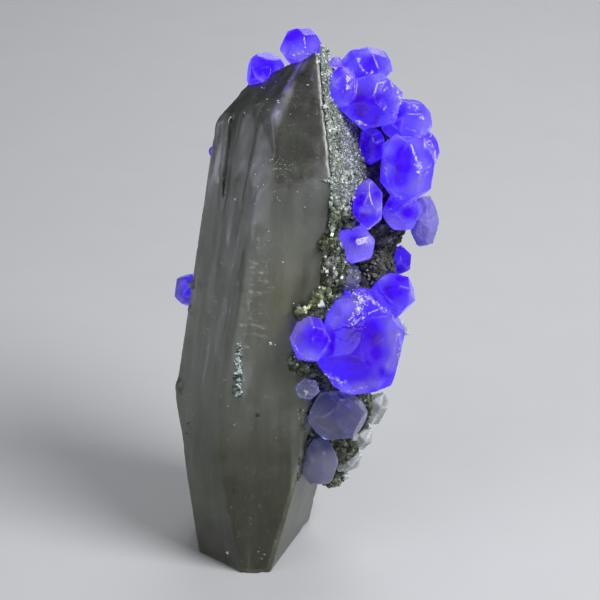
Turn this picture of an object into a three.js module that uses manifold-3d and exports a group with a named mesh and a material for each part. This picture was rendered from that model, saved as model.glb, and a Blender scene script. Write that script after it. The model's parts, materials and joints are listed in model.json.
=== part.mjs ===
// Quartz with fluorite: a leaning, spindle shaped quartz crystal that stands on a
// small flat base, with violet-blue fluorite crystals in a granular crust along its
// right side. Millimetres, +Z up. The origin is on the flat base, under the quartz.
// -Y is the front, +X is the right.

import * as THREE from 'three';
import { mergeVertices } from 'three/addons/utils/BufferGeometryUtils.js';
import Module from 'manifold-3d';

// ---------------------------------------------------------------- driving dimensions

const GAP = 0.3;                 // clearance between neighbouring minerals
const FRONT_TILT = 25;           // the sizes of the fluorites are measured square to a view from this far above the front, in degrees

// Corners of the big quartz crystal.
const TIP = [13.6, 3.0, 94.8];
const FRONT_EDGE_TOP_L = [4.3, -10.5, 74.9];
const FRONT_EDGE_TOP_R = [15.8, -9.5, 75.4];
const RIGHT_EDGE_LOW = [10.4, -10.5, 20.5];
const LEFT_FRONT_MID = [-2.0, -11.0, 40.0];
const LEFT_WAIST = [-12.0, 3.0, 29.4];
const LEFT_UPPER = [-6.8, 4.0, 62.9];
const RIGHT_SHOULDER = [21.8, 3.0, 72.3];
const ROOF_LEFT = [3.5, 6.5, 88.0];
const ROOF_BACK = [1.8, 8.2, 87.3];
const ROOF_FRONT = [5.4, -1.0, 86.5];
const ROOF_SHOULDER = [-3.0, 5.8, 82.45];
const BACK_LEFT_MID = [-5.0, 18.5, 45.0];
const BACK_RIGHT_MID = [12.6, 18.0, 45.0];
const RIGHT_MID = [19.1, 3.0, 45.0];

// Corners of the flat base.
const BASE_LEFT = [-8.1, -3.9, 0];
const BASE_FRONT_L = [-3.2, -8.0, 0];
const BASE_FRONT_R = [5.1, -10.7, 0];
const BASE_RIGHT = [14.6, 13.4, 0];
const BASE_BACK_R = [10.0, 16.6, 0];
const BASE_BACK_L = [-5.5, 15.2, 0];
const BASE_BACK_CORNER = [-9.0, 6.0, 0];

// Fluorite crystals: centre, size (across, up, deep) and turn in degrees.
// habit gives the distances of the cube, dodecahedron and octahedron faces from
// the centre, as ratios.
const DODECA = [1.2, 1.0, 1.13];
const CUBOID = [1.0, 1.14, 1.3];
const ROUND = [1.05, 1.0, 1.06];

const FLUORITES = {
  fluorite_tip: [{ at: [10.8, 6.0, 94.4], size: [7.2, 6.4, 6.6], turn: [12, 20, 35], habit: ROUND }],
  fluorite_tip_bit: [{ at: [16.6, 3.0, 92.6], size: [2.2, 2.0, 2.2], turn: [30, 10, 5], habit: ROUND }],
  fluorite_shoulder: [{ at: [4.7, 8.6, 88.8], size: [6.6, 7.4, 6.4], turn: [10, -32, 12], habit: DODECA }],
  fluorite_left_edge: [{ at: [-9.2, 7.0, 48.6], size: [5.6, 5.9, 5.6], turn: [20, 8, 40], habit: ROUND }],
  fluorite_left_speck: [{ at: [-4.3, 6.8, 75.2], size: [2.0, 2.0, 2.0], turn: [5, 40, 15], habit: ROUND }],
  fluorite_crown_cluster: [
    { at: [17.9, 1.6, 88.6], size: [5.7, 7.2, 5.6], turn: [8, 18, 20], habit: ROUND },
    { at: [21.9, 6.4, 90.8], size: [9.0, 6.6, 8.0], turn: [25, -10, 15], habit: ROUND },
    { at: [22.7, 2.4, 85.9], size: [10.8, 9.8, 9.4], turn: [18, 12, 35], habit: DODECA },
    { at: [28.8, 4.2, 81.6], size: [9.0, 8.2, 8.4], turn: [35, 15, 5], habit: ROUND },
    { at: [28.9, 0.8, 74.7], size: [9.4, 13.0, 9.0], turn: [5, 6, 42], habit: ROUND },
    { at: [31.9, 2.6, 76.6], size: [5.4, 8.0, 7.0], turn: [40, 10, 10], habit: DODECA },
  ],
  fluorite_recess: [{ at: [22.9, 3.4, 77.6], size: [4.2, 6.9, 5.2], turn: [0, 5, 45], habit: CUBOID }],
  fluorite_mid_oval: [{ at: [22.1, -3.2, 69.3], size: [5.1, 8.8, 6.0], turn: [4, 3, 44], habit: DODECA }],
  fluorite_mid_pair: [
    { at: [28.2, 0.6, 66.6], size: [6.9, 6.8, 6.4], turn: [28, 12, 20], habit: DODECA },
    { at: [32.2, 2.6, 63.9], size: [5.4, 8.8, 6.6], turn: [10, 20, 30], habit: ROUND },
  ],
  fluorite_mid_square: [{ at: [20.2, -4.4, 62.4], size: [6.6, 6.6, 6.4], turn: [14, 6, 28], habit: CUBOID }],
  fluorite_grey_mass: [{ at: [18.6, -4.0, 56.2], size: [5.2, 5.0, 5.2], turn: [20, 15, 10], habit: ROUND }],
  fluorite_back_small: [{ at: [28.3, 5.6, 55.1], size: [4.2, 5.4, 4.6], turn: [15, 5, 40], habit: DODECA }],
  fluorite_right: [{ at: [27.0, 0.0, 51.0], size: [7.9, 7.8, 7.6], turn: [22, 28, 8], habit: ROUND }],
  fluorite_big_pair: [
    { at: [21.0, -7.4, 45.5], size: [15.9, 18.6, 15.4], turn: [24, 14, 32], habit: DODECA },
    { at: [12.2, -12.2, 48.2], size: [6.9, 7.9, 6.4], turn: [10, 25, 18], habit: ROUND },
  ],
  fluorite_bead: [{ at: [11.9, -12.2, 38.6], size: [4.3, 3.8, 3.8], turn: [20, 30, 10], habit: ROUND }],
  fluorite_pale: [{ at: [17.2, -9.2, 31.9], size: [10.8, 8.8, 9.0], turn: [16, 10, 20], habit: DODECA }],
  fluorite_pale_low: [{ at: [14.0, -7.6, 21.6], size: [7.2, 8.6, 7.0], turn: [8, 24, 30], habit: ROUND }],
};

// Small whitish quartz crystals on the crust: foot, tip, width.
const SMALL_QUARTZ = {
  quartz_small_right: { foot: [25.6, 3.0, 44.2], tip: [30.6, 1.6, 42.2], width: 4.0 },
  quartz_small_upper: { foot: [23.6, 4.2, 24.4], tip: [26.2, 3.4, 30.2], width: 3.4 },
  quartz_small_mid: { foot: [21.4, 4.6, 19.0], tip: [24.2, 3.4, 22.4], width: 3.4 },
  quartz_small_bead: { foot: [19.8, 1.6, 21.2], tip: [21.4, 0.6, 22.6], width: 1.7 },
  quartz_small_low: { foot: [18.4, 4.2, 14.6], tip: [22.4, 2.6, 17.4], width: 3.8 },
  quartz_small_tiny: { foot: [17.6, 5.0, 11.6], tip: [20.2, 3.6, 11.8], width: 1.7 },
};

// Lumps of the crust: centre and half sizes.
const CRUST_LUMPS = [
  [[17.0, -7.6, 75.6], [1.8, 2.0, 2.6]],
  [[16.4, -8.2, 71.2], [1.5, 1.8, 3.0]],
  [[15.8, -8.8, 67.8], [1.3, 1.5, 2.0]],
  [[15.0, -9.0, 64.3], [1.8, 1.7, 2.0]],
  [[15.5, -9.0, 61.2], [1.5, 1.5, 1.6]],
  [[15.0, -9.2, 58.5], [1.4, 1.4, 1.7]],
  [[14.0, -9.6, 55.3], [1.6, 1.5, 1.9]],
  [[12.6, -10.0, 52.6], [1.7, 1.5, 1.5]],
  [[10.7, -10.5, 52.5], [1.6, 1.4, 1.3]],
  [[10.4, -10.6, 42.8], [1.9, 1.6, 2.2]],
  [[20.0, 4.5, 84.8], [3.0, 3.6, 4.2]],
  [[22.0, 7.6, 79.5], [4.0, 3.8, 6.0]],
  [[23.5, 6.5, 71.0], [4.4, 4.6, 6.2]],
  [[18.8, -1.6, 67.5], [2.4, 3.4, 5.6]],
  [[24.2, 6.2, 62.5], [4.8, 4.8, 6.2]],
  [[16.6, -4.6, 58.5], [2.6, 3.4, 6.0]],
  [[23.6, 5.6, 54.0], [4.6, 4.8, 5.8]],
  [[15.0, -6.2, 51.5], [2.4, 2.8, 4.0]],
  [[22.5, 2.5, 46.0], [5.0, 5.4, 6.6]],
  [[14.2, -8.0, 42.0], [2.6, 2.6, 4.2]],
  [[20.6, 2.2, 36.5], [4.4, 4.8, 6.6]],
  [[19.8, 3.0, 27.5], [3.8, 4.6, 6.0]],
  [[17.8, 4.0, 19.8], [3.4, 4.4, 5.2]],
  [[16.6, 6.2, 13.0], [2.6, 4.0, 4.2]],
  [[21.0, 9.0, 74.0], [3.2, 4.2, 6.6]],
  [[20.0, 9.6, 62.0], [3.2, 4.4, 7.0]],
  [[19.0, 9.6, 49.0], [3.2, 4.2, 7.0]],
  [[18.0, 9.6, 36.0], [3.0, 4.2, 6.6]],
  [[16.8, 10.0, 24.0], [2.8, 4.0, 6.0]],
];
const FACE_CRUST_THICK = 1.1;    // crust on the coated end face of the quartz

// ---------------------------------------------------------------- helpers

const wasm = await Module();
wasm.setup();

const v3 = (a) => new THREE.Vector3(a[0], a[1], a[2]);

function randomFrom(seed) {
  let s = seed >>> 0;
  return () => {
    s = (s + 0x6d2b79f5) >>> 0;
    let t = s;
    t = Math.imul(t ^ (t >>> 15), t | 1);
    t ^= t + Math.imul(t ^ (t >>> 7), t | 61);
    return ((t ^ (t >>> 14)) >>> 0) / 4294967296;
  };
}

function seedOf(text) {
  let h = 2166136261;
  for (const c of text) h = Math.imul(h ^ c.charCodeAt(0), 16777619);
  return h >>> 0;
}

// A face plane through three points, facing away from the point inside.
function face(a, b, c, inside) {
  const n = v3(b).sub(v3(a)).cross(v3(c).sub(v3(a))).normalize();
  let d = n.dot(v3(a));
  if (n.dot(v3(inside)) > d) { n.negate(); d = -d; }
  return { n, d };
}

const grown = (planes, by) => planes.map((p) => ({ n: p.n, d: p.d + by }));

// The convex crystal that a set of face planes bounds. Corners nearer than merge are one.
function crystalOf(planes, merge = 2e-3) {
  const corners = [];
  const m = new THREE.Matrix3();
  for (let i = 0; i < planes.length; i++) {
    for (let j = i + 1; j < planes.length; j++) {
      for (let k = j + 1; k < planes.length; k++) {
        const a = planes[i], b = planes[j], c = planes[k];
        m.set(a.n.x, a.n.y, a.n.z, b.n.x, b.n.y, b.n.z, c.n.x, c.n.y, c.n.z);
        if (Math.abs(m.determinant()) < 1e-6) continue;
        const p = new THREE.Vector3(a.d, b.d, c.d).applyMatrix3(m.invert());
        if (planes.some((q) => q.n.dot(p) > q.d + 1e-7)) continue;
        const same = corners.find((q) => q.p.distanceTo(p) < merge);
        if (same) [i, j, k].forEach((f) => same.faces.add(f));
        else corners.push({ p, faces: new Set([i, j, k]) });
      }
    }
  }
  const tris = [];
  planes.forEach((pl, f) => {
    const on = corners.map((c, i) => i).filter((i) => corners[i].faces.has(f));
    if (on.length < 3) return;
    const mid = new THREE.Vector3();
    on.forEach((i) => mid.add(corners[i].p));
    mid.divideScalar(on.length);
    const u = corners[on[0]].p.clone().sub(mid).normalize();
    const w = pl.n.clone().cross(u);
    const angle = (i) => { const r = corners[i].p.clone().sub(mid); return Math.atan2(r.dot(w), r.dot(u)); };
    on.sort((i, j) => angle(i) - angle(j));
    for (let t = 1; t + 1 < on.length; t++) tris.push(on[0], on[t], on[t + 1]);
  });
  return solidOf(corners.flatMap((c) => [c.p.x, c.p.y, c.p.z]), tris);
}

function solidOf(positions, tris) {
  return new wasm.Manifold(new wasm.Mesh({
    numProp: 3,
    vertProperties: new Float32Array(positions),
    triVerts: new Uint32Array(tris),
  }));
}

function solidOfGeometry(geometry) {
  const g = geometry.clone();
  g.deleteAttribute('normal');
  g.deleteAttribute('uv');
  const merged = mergeVertices(g, 1e-4);
  return solidOf(Array.from(merged.attributes.position.array), Array.from(merged.index.array));
}

const joined = (solids) => solids.reduce((a, b) => a.add(b));

function largestPiece(solid) {
  const pieces = solid.decompose();
  return pieces.reduce((a, b) => (a.volume() > b.volume() ? a : b));
}

function meshOf(name, solid, colour, roughness) {
  const data = solid.getMesh();
  const g = new THREE.BufferGeometry();
  g.setAttribute('position', new THREE.BufferAttribute(new Float32Array(data.vertProperties), 3));
  g.setIndex(new THREE.BufferAttribute(new Uint32Array(data.triVerts), 1));
  g.computeVertexNormals();
  const mesh = new THREE.Mesh(g, new THREE.MeshStandardMaterial({ color: colour, roughness, metalness: 0 }));
  mesh.name = name;
  return mesh;
}

// ---------------------------------------------------------------- the big quartz crystal

const HEART = [5, 3, 45];
const q = (a, b, c) => face(a, b, c, HEART);

const frontPrism = q(FRONT_EDGE_TOP_R, RIGHT_EDGE_LOW, LEFT_FRONT_MID);
const leftPrism = q(LEFT_FRONT_MID, LEFT_WAIST, LEFT_UPPER);
const rightPrism = q(FRONT_EDGE_TOP_R, RIGHT_EDGE_LOW, RIGHT_SHOULDER);
const frontEnd = q(FRONT_EDGE_TOP_L, FRONT_EDGE_TOP_R, TIP);
const rightEnd = q(TIP, FRONT_EDGE_TOP_R, RIGHT_SHOULDER);
const roof = q(TIP, ROOF_LEFT, ROOF_FRONT);
const backLeftPrism = q(LEFT_WAIST, LEFT_UPPER, BACK_LEFT_MID);
const backPrism = q(BACK_LEFT_MID, BACK_RIGHT_MID, [3.0, 17.0, 75.0]);
const backRightPrism = q(BACK_RIGHT_MID, RIGHT_MID, RIGHT_SHOULDER);
const backRightEnd = q(TIP, RIGHT_SHOULDER, [16.0, 16.0, 73.0]);
const backEnd = q(TIP, ROOF_BACK, [8.0, 16.0, 77.0]);
const backLeftEnd = q(ROOF_BACK, ROOF_SHOULDER, [0.5, 14.0, 76.5]);
const base = { n: new THREE.Vector3(0, 0, -1), d: 0 };
const lowerFaces = [
  q(RIGHT_EDGE_LOW, BASE_FRONT_R, [-4.2, -11.0, 26.0]),
  q(BASE_LEFT, BASE_FRONT_L, [-4.2, -11.0, 26.0]),
  q(BASE_LEFT, BASE_BACK_CORNER, LEFT_WAIST),
  q(BASE_BACK_CORNER, BASE_BACK_L, [-11.6, 6.2, 29.0]),
  q(BASE_BACK_L, BASE_BACK_R, [-2.0, 19.0, 30.0]),
  q(BASE_BACK_R, BASE_RIGHT, [18.6, 15.6, 30.0]),
  q(BASE_FRONT_R, BASE_RIGHT, RIGHT_EDGE_LOW),
];
// The bottoms of the grooves between the parallel ridges at the upper left.
const grooveFloor = q([-0.7, 4.5, 80.9], [3.2, 0.0, 82.6], [-3.4, -3.5, 58.0]);

const bodyPlanes = [
  frontPrism, leftPrism, rightPrism, backLeftPrism, backPrism, backRightPrism,
  frontEnd, rightEnd, roof, backEnd, backRightEnd, backLeftEnd,
  grooveFloor, base, ...lowerFaces,
];

// Three ridges in parallel growth with the body, each with its own side faces.
const ridgeFloor = { n: new THREE.Vector3(-0.13, 0, -1).normalize(), d: -46 };
const ridge3 = [
  q([7.93, -3.37, 85.53], [4.96, -11.0, 74.06], [1.8, -7.5, 75.4]),
  q([3.2, 0.0, 82.6], [1.3, -4.0, 73.1], [1.8, -7.5, 75.4]),
  frontPrism, frontEnd, roof, rightEnd, backEnd, ridgeFloor, leftPrism,
  { n: new THREE.Vector3(1, 0, 0), d: 12 }, { n: new THREE.Vector3(0, 1, 0), d: 4 },
];
const ridge2 = [
  q([1.45, 1.32, 84.23], [5.4, -1.05, 86.48], [-0.9, -3.2, 72.8]),
  q([0.9, 0.9, 83.5], [-1.1, -2.5, 72.5], [-1.2, 2.6, 76.0]),
  frontPrism, frontEnd, roof, backEnd, ridgeFloor, leftPrism,
  { n: new THREE.Vector3(1, 0, 0), d: 9 }, { n: new THREE.Vector3(0, 1, 0), d: 8 },
];
const ridge1 = [
  q([-1.67, 2.77, 82.27], [-2.98, 5.83, 82.45], [-5.7, 4.0, 69.9]),
  face([-1.7, 2.8, 82.3], [-2.3, 0.5, 72.4], [-0.7, 4.5, 80.9], [-2.5, 6.0, 76.0]),
  roof, backEnd, backLeftEnd, backLeftPrism, leftPrism, frontPrism, ridgeFloor,
  { n: new THREE.Vector3(1, 0, 0), d: 8 }, { n: new THREE.Vector3(0, 1, 0), d: 13 },
];

// The strip behind the ridges, where the grooves end.
const roofStrip = [
  { n: new THREE.Vector3(0.2, -1, 0.1).normalize(), d: new THREE.Vector3(0.2, -1, 0.1).normalize().dot(v3([0.5, 5.0, 84.0])) },
  roof, backEnd, backLeftEnd, backLeftPrism, leftPrism, ridgeFloor,
  { n: new THREE.Vector3(1, 0, 0), d: 8 }, { n: new THREE.Vector3(0, 1, 0), d: 14 },
];

const quartzParts = [bodyPlanes, ridge3, ridge2, ridge1, roofStrip];
const quartz = joined(quartzParts.map((p) => crystalOf(p)));
const quartzRoom = joined(quartzParts.map((p) => crystalOf(grown(p, GAP))));

// ---------------------------------------------------------------- fluorites

// Face directions of the cubic forms: cube, dodecahedron, octahedron.
function cubicForms() {
  const forms = [[], [], []];
  for (const s of [-1, 1]) {
    forms[0].push([s, 0, 0], [0, s, 0], [0, 0, s]);
    for (const t of [-1, 1]) {
      forms[1].push([s, t, 0], [s, 0, t], [0, s, t]);
      for (const r of [-1, 1]) forms[2].push([s, t, r]);
    }
  }
  return forms;
}

// Axes that the sizes are measured along: across, up and deep.
const tilt = THREE.MathUtils.degToRad(FRONT_TILT);
const ACROSS = new THREE.Vector3(1, 0, 0);
const UP = new THREE.Vector3(0, Math.sin(tilt), Math.cos(tilt));
const DEEP = new THREE.Vector3(0, Math.cos(tilt), -Math.sin(tilt));

function fluoritePlanes({ at, size, turn, habit }, seed) {
  const random = randomFrom(seed);
  const e = new THREE.Euler(...turn.map((t) => THREE.MathUtils.degToRad(t)));
  const planes = [];
  cubicForms().forEach((dirs, f) => dirs.forEach((dir) => {
    const n = v3(dir).normalize().applyEuler(e);
    planes.push({ n, d: habit[f] * (1 + (random() - 0.5) * 0.07) });
  }));
  // Fit the crystal into its size along the three axes.
  const unit = crystalOf(planes, 1e-5).getMesh();
  const axes = [ACROSS, UP, DEEP];
  const lo = [1e9, 1e9, 1e9], hi = [-1e9, -1e9, -1e9];
  for (let i = 0; i < unit.vertProperties.length; i += 3) {
    const p = new THREE.Vector3().fromArray(unit.vertProperties, i);
    axes.forEach((a, k) => { lo[k] = Math.min(lo[k], p.dot(a)); hi[k] = Math.max(hi[k], p.dot(a)); });
  }
  const scale = axes.map((a, k) => size[k] / (hi[k] - lo[k]));
  const mid = new THREE.Vector3();
  axes.forEach((a, k) => mid.addScaledVector(a, scale[k] * (lo[k] + hi[k]) / 2));
  const centre = v3(at).sub(mid);
  return planes.map((p) => {
    const n = new THREE.Vector3();
    axes.forEach((a, k) => n.addScaledVector(a, p.n.dot(a) / scale[k]));
    const len = n.length();
    n.divideScalar(len);
    return { n, d: p.d / len + n.dot(centre) };
  });
}

const fluoriteSolids = {};
const fluoriteRooms = {};
const fluoriteBeds = {};
for (const [name, crystals] of Object.entries(FLUORITES)) {
  const sets = crystals.map((c, i) => fluoritePlanes(c, seedOf(name + i)));
  fluoriteSolids[name] = joined(sets.map((s) => crystalOf(s)));
  fluoriteRooms[name] = joined(sets.map((s) => crystalOf(grown(s, GAP))));
  // The bed in the crust has only the cube and dodecahedron faces.
  fluoriteBeds[name] = joined(sets.map((s) => crystalOf(grown(s.slice(0, 18), GAP))));
}

// Each crystal keeps clear of the quartz and of the crystals before it in this order.
const ORDER = [
  'fluorite_big_pair', 'fluorite_crown_cluster', 'fluorite_mid_oval', 'fluorite_mid_square', 'fluorite_mid_pair',
  'fluorite_right', 'fluorite_pale', 'fluorite_tip', 'fluorite_shoulder', 'fluorite_left_edge', 'fluorite_left_speck',
  'fluorite_tip_bit', 'fluorite_bead', 'fluorite_pale_low', 'fluorite_recess', 'fluorite_back_small', 'fluorite_grey_mass',
];
ORDER.forEach((name, i) => {
  let solid = fluoriteSolids[name].subtract(quartzRoom);
  ORDER.slice(0, i).forEach((other) => { solid = solid.subtract(fluoriteRooms[other]); });
  fluoriteSolids[name] = largestPiece(solid);
});

// ---------------------------------------------------------------- small quartz crystals

function smallQuartzPlanes({ foot, tip, width }, seed) {
  const random = randomFrom(seed);
  const axis = v3(tip).sub(v3(foot));
  const length = axis.length();
  axis.normalize();
  const side = new THREE.Vector3(0.3, 1, 0.2).cross(axis).normalize();
  const other = axis.clone().cross(side);
  const planes = [{ n: axis.clone().negate(), d: -axis.dot(v3(foot)) + 0.6 }];
  for (let i = 0; i < 6; i++) {
    const a = (i + 0.3) * Math.PI / 3;
    const out = side.clone().multiplyScalar(Math.cos(a)).addScaledVector(other, Math.sin(a));
    const r = width / 2 * (0.9 + 0.16 * random());
    planes.push({ n: out.clone(), d: out.dot(v3(foot)) + r });
    const end = out.clone().multiplyScalar(0.79).addScaledVector(axis, 0.61).normalize();
    planes.push({ n: end, d: end.dot(v3(tip)) - 0.05 * length * random() });
  }
  return planes;
}

const smallSolids = {};
const smallRooms = {};
for (const [name, c] of Object.entries(SMALL_QUARTZ)) {
  const planes = smallQuartzPlanes(c, seedOf(name));
  let solid = crystalOf(planes).subtract(quartzRoom);
  for (const other of ORDER) solid = solid.subtract(fluoriteRooms[other]);
  for (const done of Object.values(smallRooms)) solid = solid.subtract(done);
  smallSolids[name] = largestPiece(solid);
  smallRooms[name] = crystalOf(grown(planes, GAP));
}

// ---------------------------------------------------------------- crust

function lump([at, half], index) {
  const g = new THREE.IcosahedronGeometry(1, 1);
  const pos = g.attributes.position;
  const p = new THREE.Vector3();
  for (let i = 0; i < pos.count; i++) {
    p.fromBufferAttribute(pos, i);
    const wave = Math.sin(5.1 * p.x + 1.7 * index) * Math.sin(4.3 * p.y + 2.3 * index) + Math.sin(6.2 * p.z + 0.9 * index);
    p.multiplyScalar(1 + 0.1 * wave);
    pos.setXYZ(i, at[0] + p.x * half[0], at[1] + p.y * half[1], at[2] + p.z * half[2]);
  }
  return solidOfGeometry(g);
}

// The thin crust on the coated end face, a slab that follows the face.
const faceCrust = crystalOf([
  { n: rightEnd.n, d: rightEnd.d + GAP + FACE_CRUST_THICK },
  { n: rightEnd.n.clone().negate(), d: -rightEnd.d + 1 },
  { n: frontEnd.n, d: frontEnd.d + 0.2 },
  { n: frontPrism.n, d: frontPrism.d + 0.2 },
  { n: backRightEnd.n, d: backRightEnd.d + 1.5 },
  { n: rightPrism.n, d: rightPrism.d + 1.5 },
  { n: roof.n, d: roof.d - 0.4 },
  { n: new THREE.Vector3(0, 0, -1), d: -71 },
]);

let crust = joined([faceCrust, ...CRUST_LUMPS.map(lump)]).subtract(quartzRoom);
for (const name of ORDER) crust = crust.subtract(fluoriteBeds[name]);
for (const room of Object.values(smallRooms)) crust = crust.subtract(room);
// The crystals part it into one large patch and four small ones, here from large to small.
const crustPatches = crust.decompose().sort((a, b) => b.volume() - a.volume());
const CRUST_NAMES = ['matrix_crust', 'crust_patch_mid', 'crust_patch_under_big', 'crust_patch_edge', 'crust_patch_low'];

// ---------------------------------------------------------------- the specimen

const PALE = new Set(['fluorite_bead', 'fluorite_pale', 'fluorite_pale_low', 'fluorite_grey_mass']);

const specimen = new THREE.Group();
specimen.add(meshOf('quartz_crystal', quartz, 0x686a60, 0.3));
CRUST_NAMES.forEach((name, i) => specimen.add(meshOf(name, crustPatches[i], 0x7d8874, 0.8)));
for (const name of ORDER) {
  specimen.add(PALE.has(name)
    ? meshOf(name, fluoriteSolids[name], 0x8f8fc4, 0.25)
    : meshOf(name, fluoriteSolids[name], 0x5a3cf0, 0.15));
}
for (const [name, solid] of Object.entries(smallSolids)) specimen.add(meshOf(name, solid, 0xa3aaac, 0.3));

export default specimen;
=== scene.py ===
# Quartz with fluorite: the finished look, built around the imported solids.
# Every crystal is meshed again from its own face planes, with rounded edges, growth
# steps and pits. The crust gets grains. Lengths are in millimetres until a mesh is made.

import itertools
import json
import math

import bpy
import numpy as np
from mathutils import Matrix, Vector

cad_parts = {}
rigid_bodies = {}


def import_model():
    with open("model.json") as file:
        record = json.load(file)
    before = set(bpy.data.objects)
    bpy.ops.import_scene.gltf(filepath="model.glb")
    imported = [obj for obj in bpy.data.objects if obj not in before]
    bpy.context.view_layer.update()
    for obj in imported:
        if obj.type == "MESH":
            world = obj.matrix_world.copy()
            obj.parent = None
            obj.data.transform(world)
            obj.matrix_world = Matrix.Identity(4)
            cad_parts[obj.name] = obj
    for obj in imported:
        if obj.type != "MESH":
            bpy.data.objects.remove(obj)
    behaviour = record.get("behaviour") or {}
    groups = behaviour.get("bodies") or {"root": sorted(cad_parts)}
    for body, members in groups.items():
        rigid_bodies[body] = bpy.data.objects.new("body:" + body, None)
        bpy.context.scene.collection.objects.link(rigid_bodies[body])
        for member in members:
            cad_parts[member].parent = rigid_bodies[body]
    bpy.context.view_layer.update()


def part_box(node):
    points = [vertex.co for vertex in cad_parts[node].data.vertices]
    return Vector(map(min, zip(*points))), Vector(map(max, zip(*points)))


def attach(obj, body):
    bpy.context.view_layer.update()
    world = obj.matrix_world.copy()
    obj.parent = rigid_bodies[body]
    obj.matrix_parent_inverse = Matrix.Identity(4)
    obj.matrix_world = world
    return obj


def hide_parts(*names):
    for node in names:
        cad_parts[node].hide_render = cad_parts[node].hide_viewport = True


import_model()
FINE = 1.0          # coarser meshes while trying things

# ------------------------------------------------------------------ noise

TURN = np.array([[0.36, 0.48, -0.8], [-0.8, 0.6, 0.0], [0.48, 0.64, 0.6]])


def hash01(i, seed):
    """A number from 0 to 1 for each row of whole numbers."""
    h = (i[:, 0] * 73856093) ^ (i[:, 1] * 19349663) ^ (i[:, 2] * 83492791) ^ (seed * 2654435761 + 97)
    h = h & 0xFFFFFFFF
    h = (((h >> 16) ^ h) * 0x45D9F3B) & 0xFFFFFFFF
    h = (((h >> 16) ^ h) * 0x45D9F3B) & 0xFFFFFFFF
    return ((h >> 16) ^ h) / 4294967296.0


def noise(p, size, seed):
    """Smooth noise from -1 to 1 with bumps of about that size."""
    q = (p @ TURN.T) / size + 31.7
    i = np.floor(q).astype(np.int64)
    f = q - i
    u = f * f * f * (f * (f * 6 - 15) + 10)
    out = np.zeros(len(p))
    for c in itertools.product((0, 1), repeat=3):
        w = np.ones(len(p))
        for k in range(3):
            w *= u[:, k] if c[k] else 1 - u[:, k]
        out += w * hash01(i + np.array(c), seed)
    return out * 2 - 1


def cells(p, size, seed):
    """Distances to the nearest and second nearest of scattered points, and a number for the nearest."""
    q = p / size + 17.3
    i = np.floor(q - 0.5).astype(np.int64)
    d1 = np.full(len(p), 9.0)
    d2 = np.full(len(p), 9.0)
    tag = np.zeros(len(p))
    for c in itertools.product((0, 1), repeat=3):
        j = i + np.array(c)
        r = np.stack([j[:, k] + 0.15 + 0.7 * hash01(j, seed + k) - q[:, k] for k in range(3)], 1)
        d = np.sqrt((r * r).sum(1))
        near = d < d1
        d2 = np.where(near, d1, np.minimum(d2, d))
        d1 = np.where(near, d, d1)
        tag = np.where(near, hash01(j, seed + 5), tag)
    return d1 * size, d2 * size, tag


def ramp(x, a, b):
    t = np.clip((x - a) / (b - a), 0, 1)
    return t * t * (3 - 2 * t)


# ------------------------------------------------------------------ meshes from fields

def nets(F, lo, h):
    """Closed quad mesh of the surface F = 0, with F below 0 inside."""
    s = F < 0
    n = sum(s[x:s.shape[0] - 1 + x, y:s.shape[1] - 1 + y, z:s.shape[2] - 1 + z].astype(np.int8)
            for x, y, z in itertools.product((0, 1), repeat=3))
    act = (n > 0) & (n < 8)
    index = np.full(act.shape, -1, np.int64)
    ci = np.argwhere(act)
    index[act] = np.arange(len(ci))
    pos = np.zeros((len(ci), 3))
    count = np.zeros(len(ci))
    for a in itertools.product((0, 1), repeat=3):
        for k in range(3):
            if a[k]:
                continue
            b = list(a)
            b[k] = 1
            fa = F[ci[:, 0] + a[0], ci[:, 1] + a[1], ci[:, 2] + a[2]].astype(float)
            fb = F[ci[:, 0] + b[0], ci[:, 1] + b[1], ci[:, 2] + b[2]].astype(float)
            x = (fa < 0) != (fb < 0)
            t = np.where(x, fa / np.where(x, fa - fb, 1), 0)
            at = np.tile(np.array(a, float), (len(ci), 1))
            at[:, k] = t
            pos[x] += at[x]
            count += x
    verts = (ci + pos / count[:, None]) * h + lo
    quads = []
    for k in range(3):
        u, v = (k + 1) % 3, (k + 2) % 3
        first = [slice(None)] * 3
        second = [slice(None)] * 3
        first[k], second[k] = slice(None, -1), slice(1, None)
        sa, sb = s[tuple(first)], s[tuple(second)]
        e = np.argwhere(sa != sb)
        e = e[(e[:, u] > 0) & (e[:, v] > 0) & (e[:, u] < F.shape[u] - 1) & (e[:, v] < F.shape[v] - 1)]
        ring = []
        for du, dv in ((-1, -1), (0, -1), (0, 0), (-1, 0)):
            c = e.copy()
            c[:, u] += du
            c[:, v] += dv
            ring.append(index[c[:, 0], c[:, 1], c[:, 2]])
        ring = np.stack(ring, 1)
        inside = sa[e[:, 0], e[:, 1], e[:, 2]]
        ring[~inside] = ring[~inside][:, ::-1]
        quads.append(ring)
    return verts, np.concatenate(quads)


def chunked(field, p, n=120000):
    return np.concatenate([field(p[i:i + n]) for i in range(0, len(p), n)])


def settle(v, field, h, rounds=3, slope=None):
    """Moves points onto the surface of the field, along the slope of that field or of a plainer one."""
    slope = slope or field
    eye = np.eye(3)
    e = 0.03
    for _ in range(rounds):
        f0 = chunked(field, v)
        s0 = f0 if slope is field else chunked(slope, v)
        g = np.stack([(chunked(slope, v + e * a) - s0) / e for a in eye], 1)
        step = (f0 / np.maximum((g * g).sum(1), 0.2))[:, None] * g
        size = np.sqrt((step * step).sum(1))
        step *= np.minimum(1, 0.5 * h / np.maximum(size, 1e-9))[:, None]
        v = v - step
    return v


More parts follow.
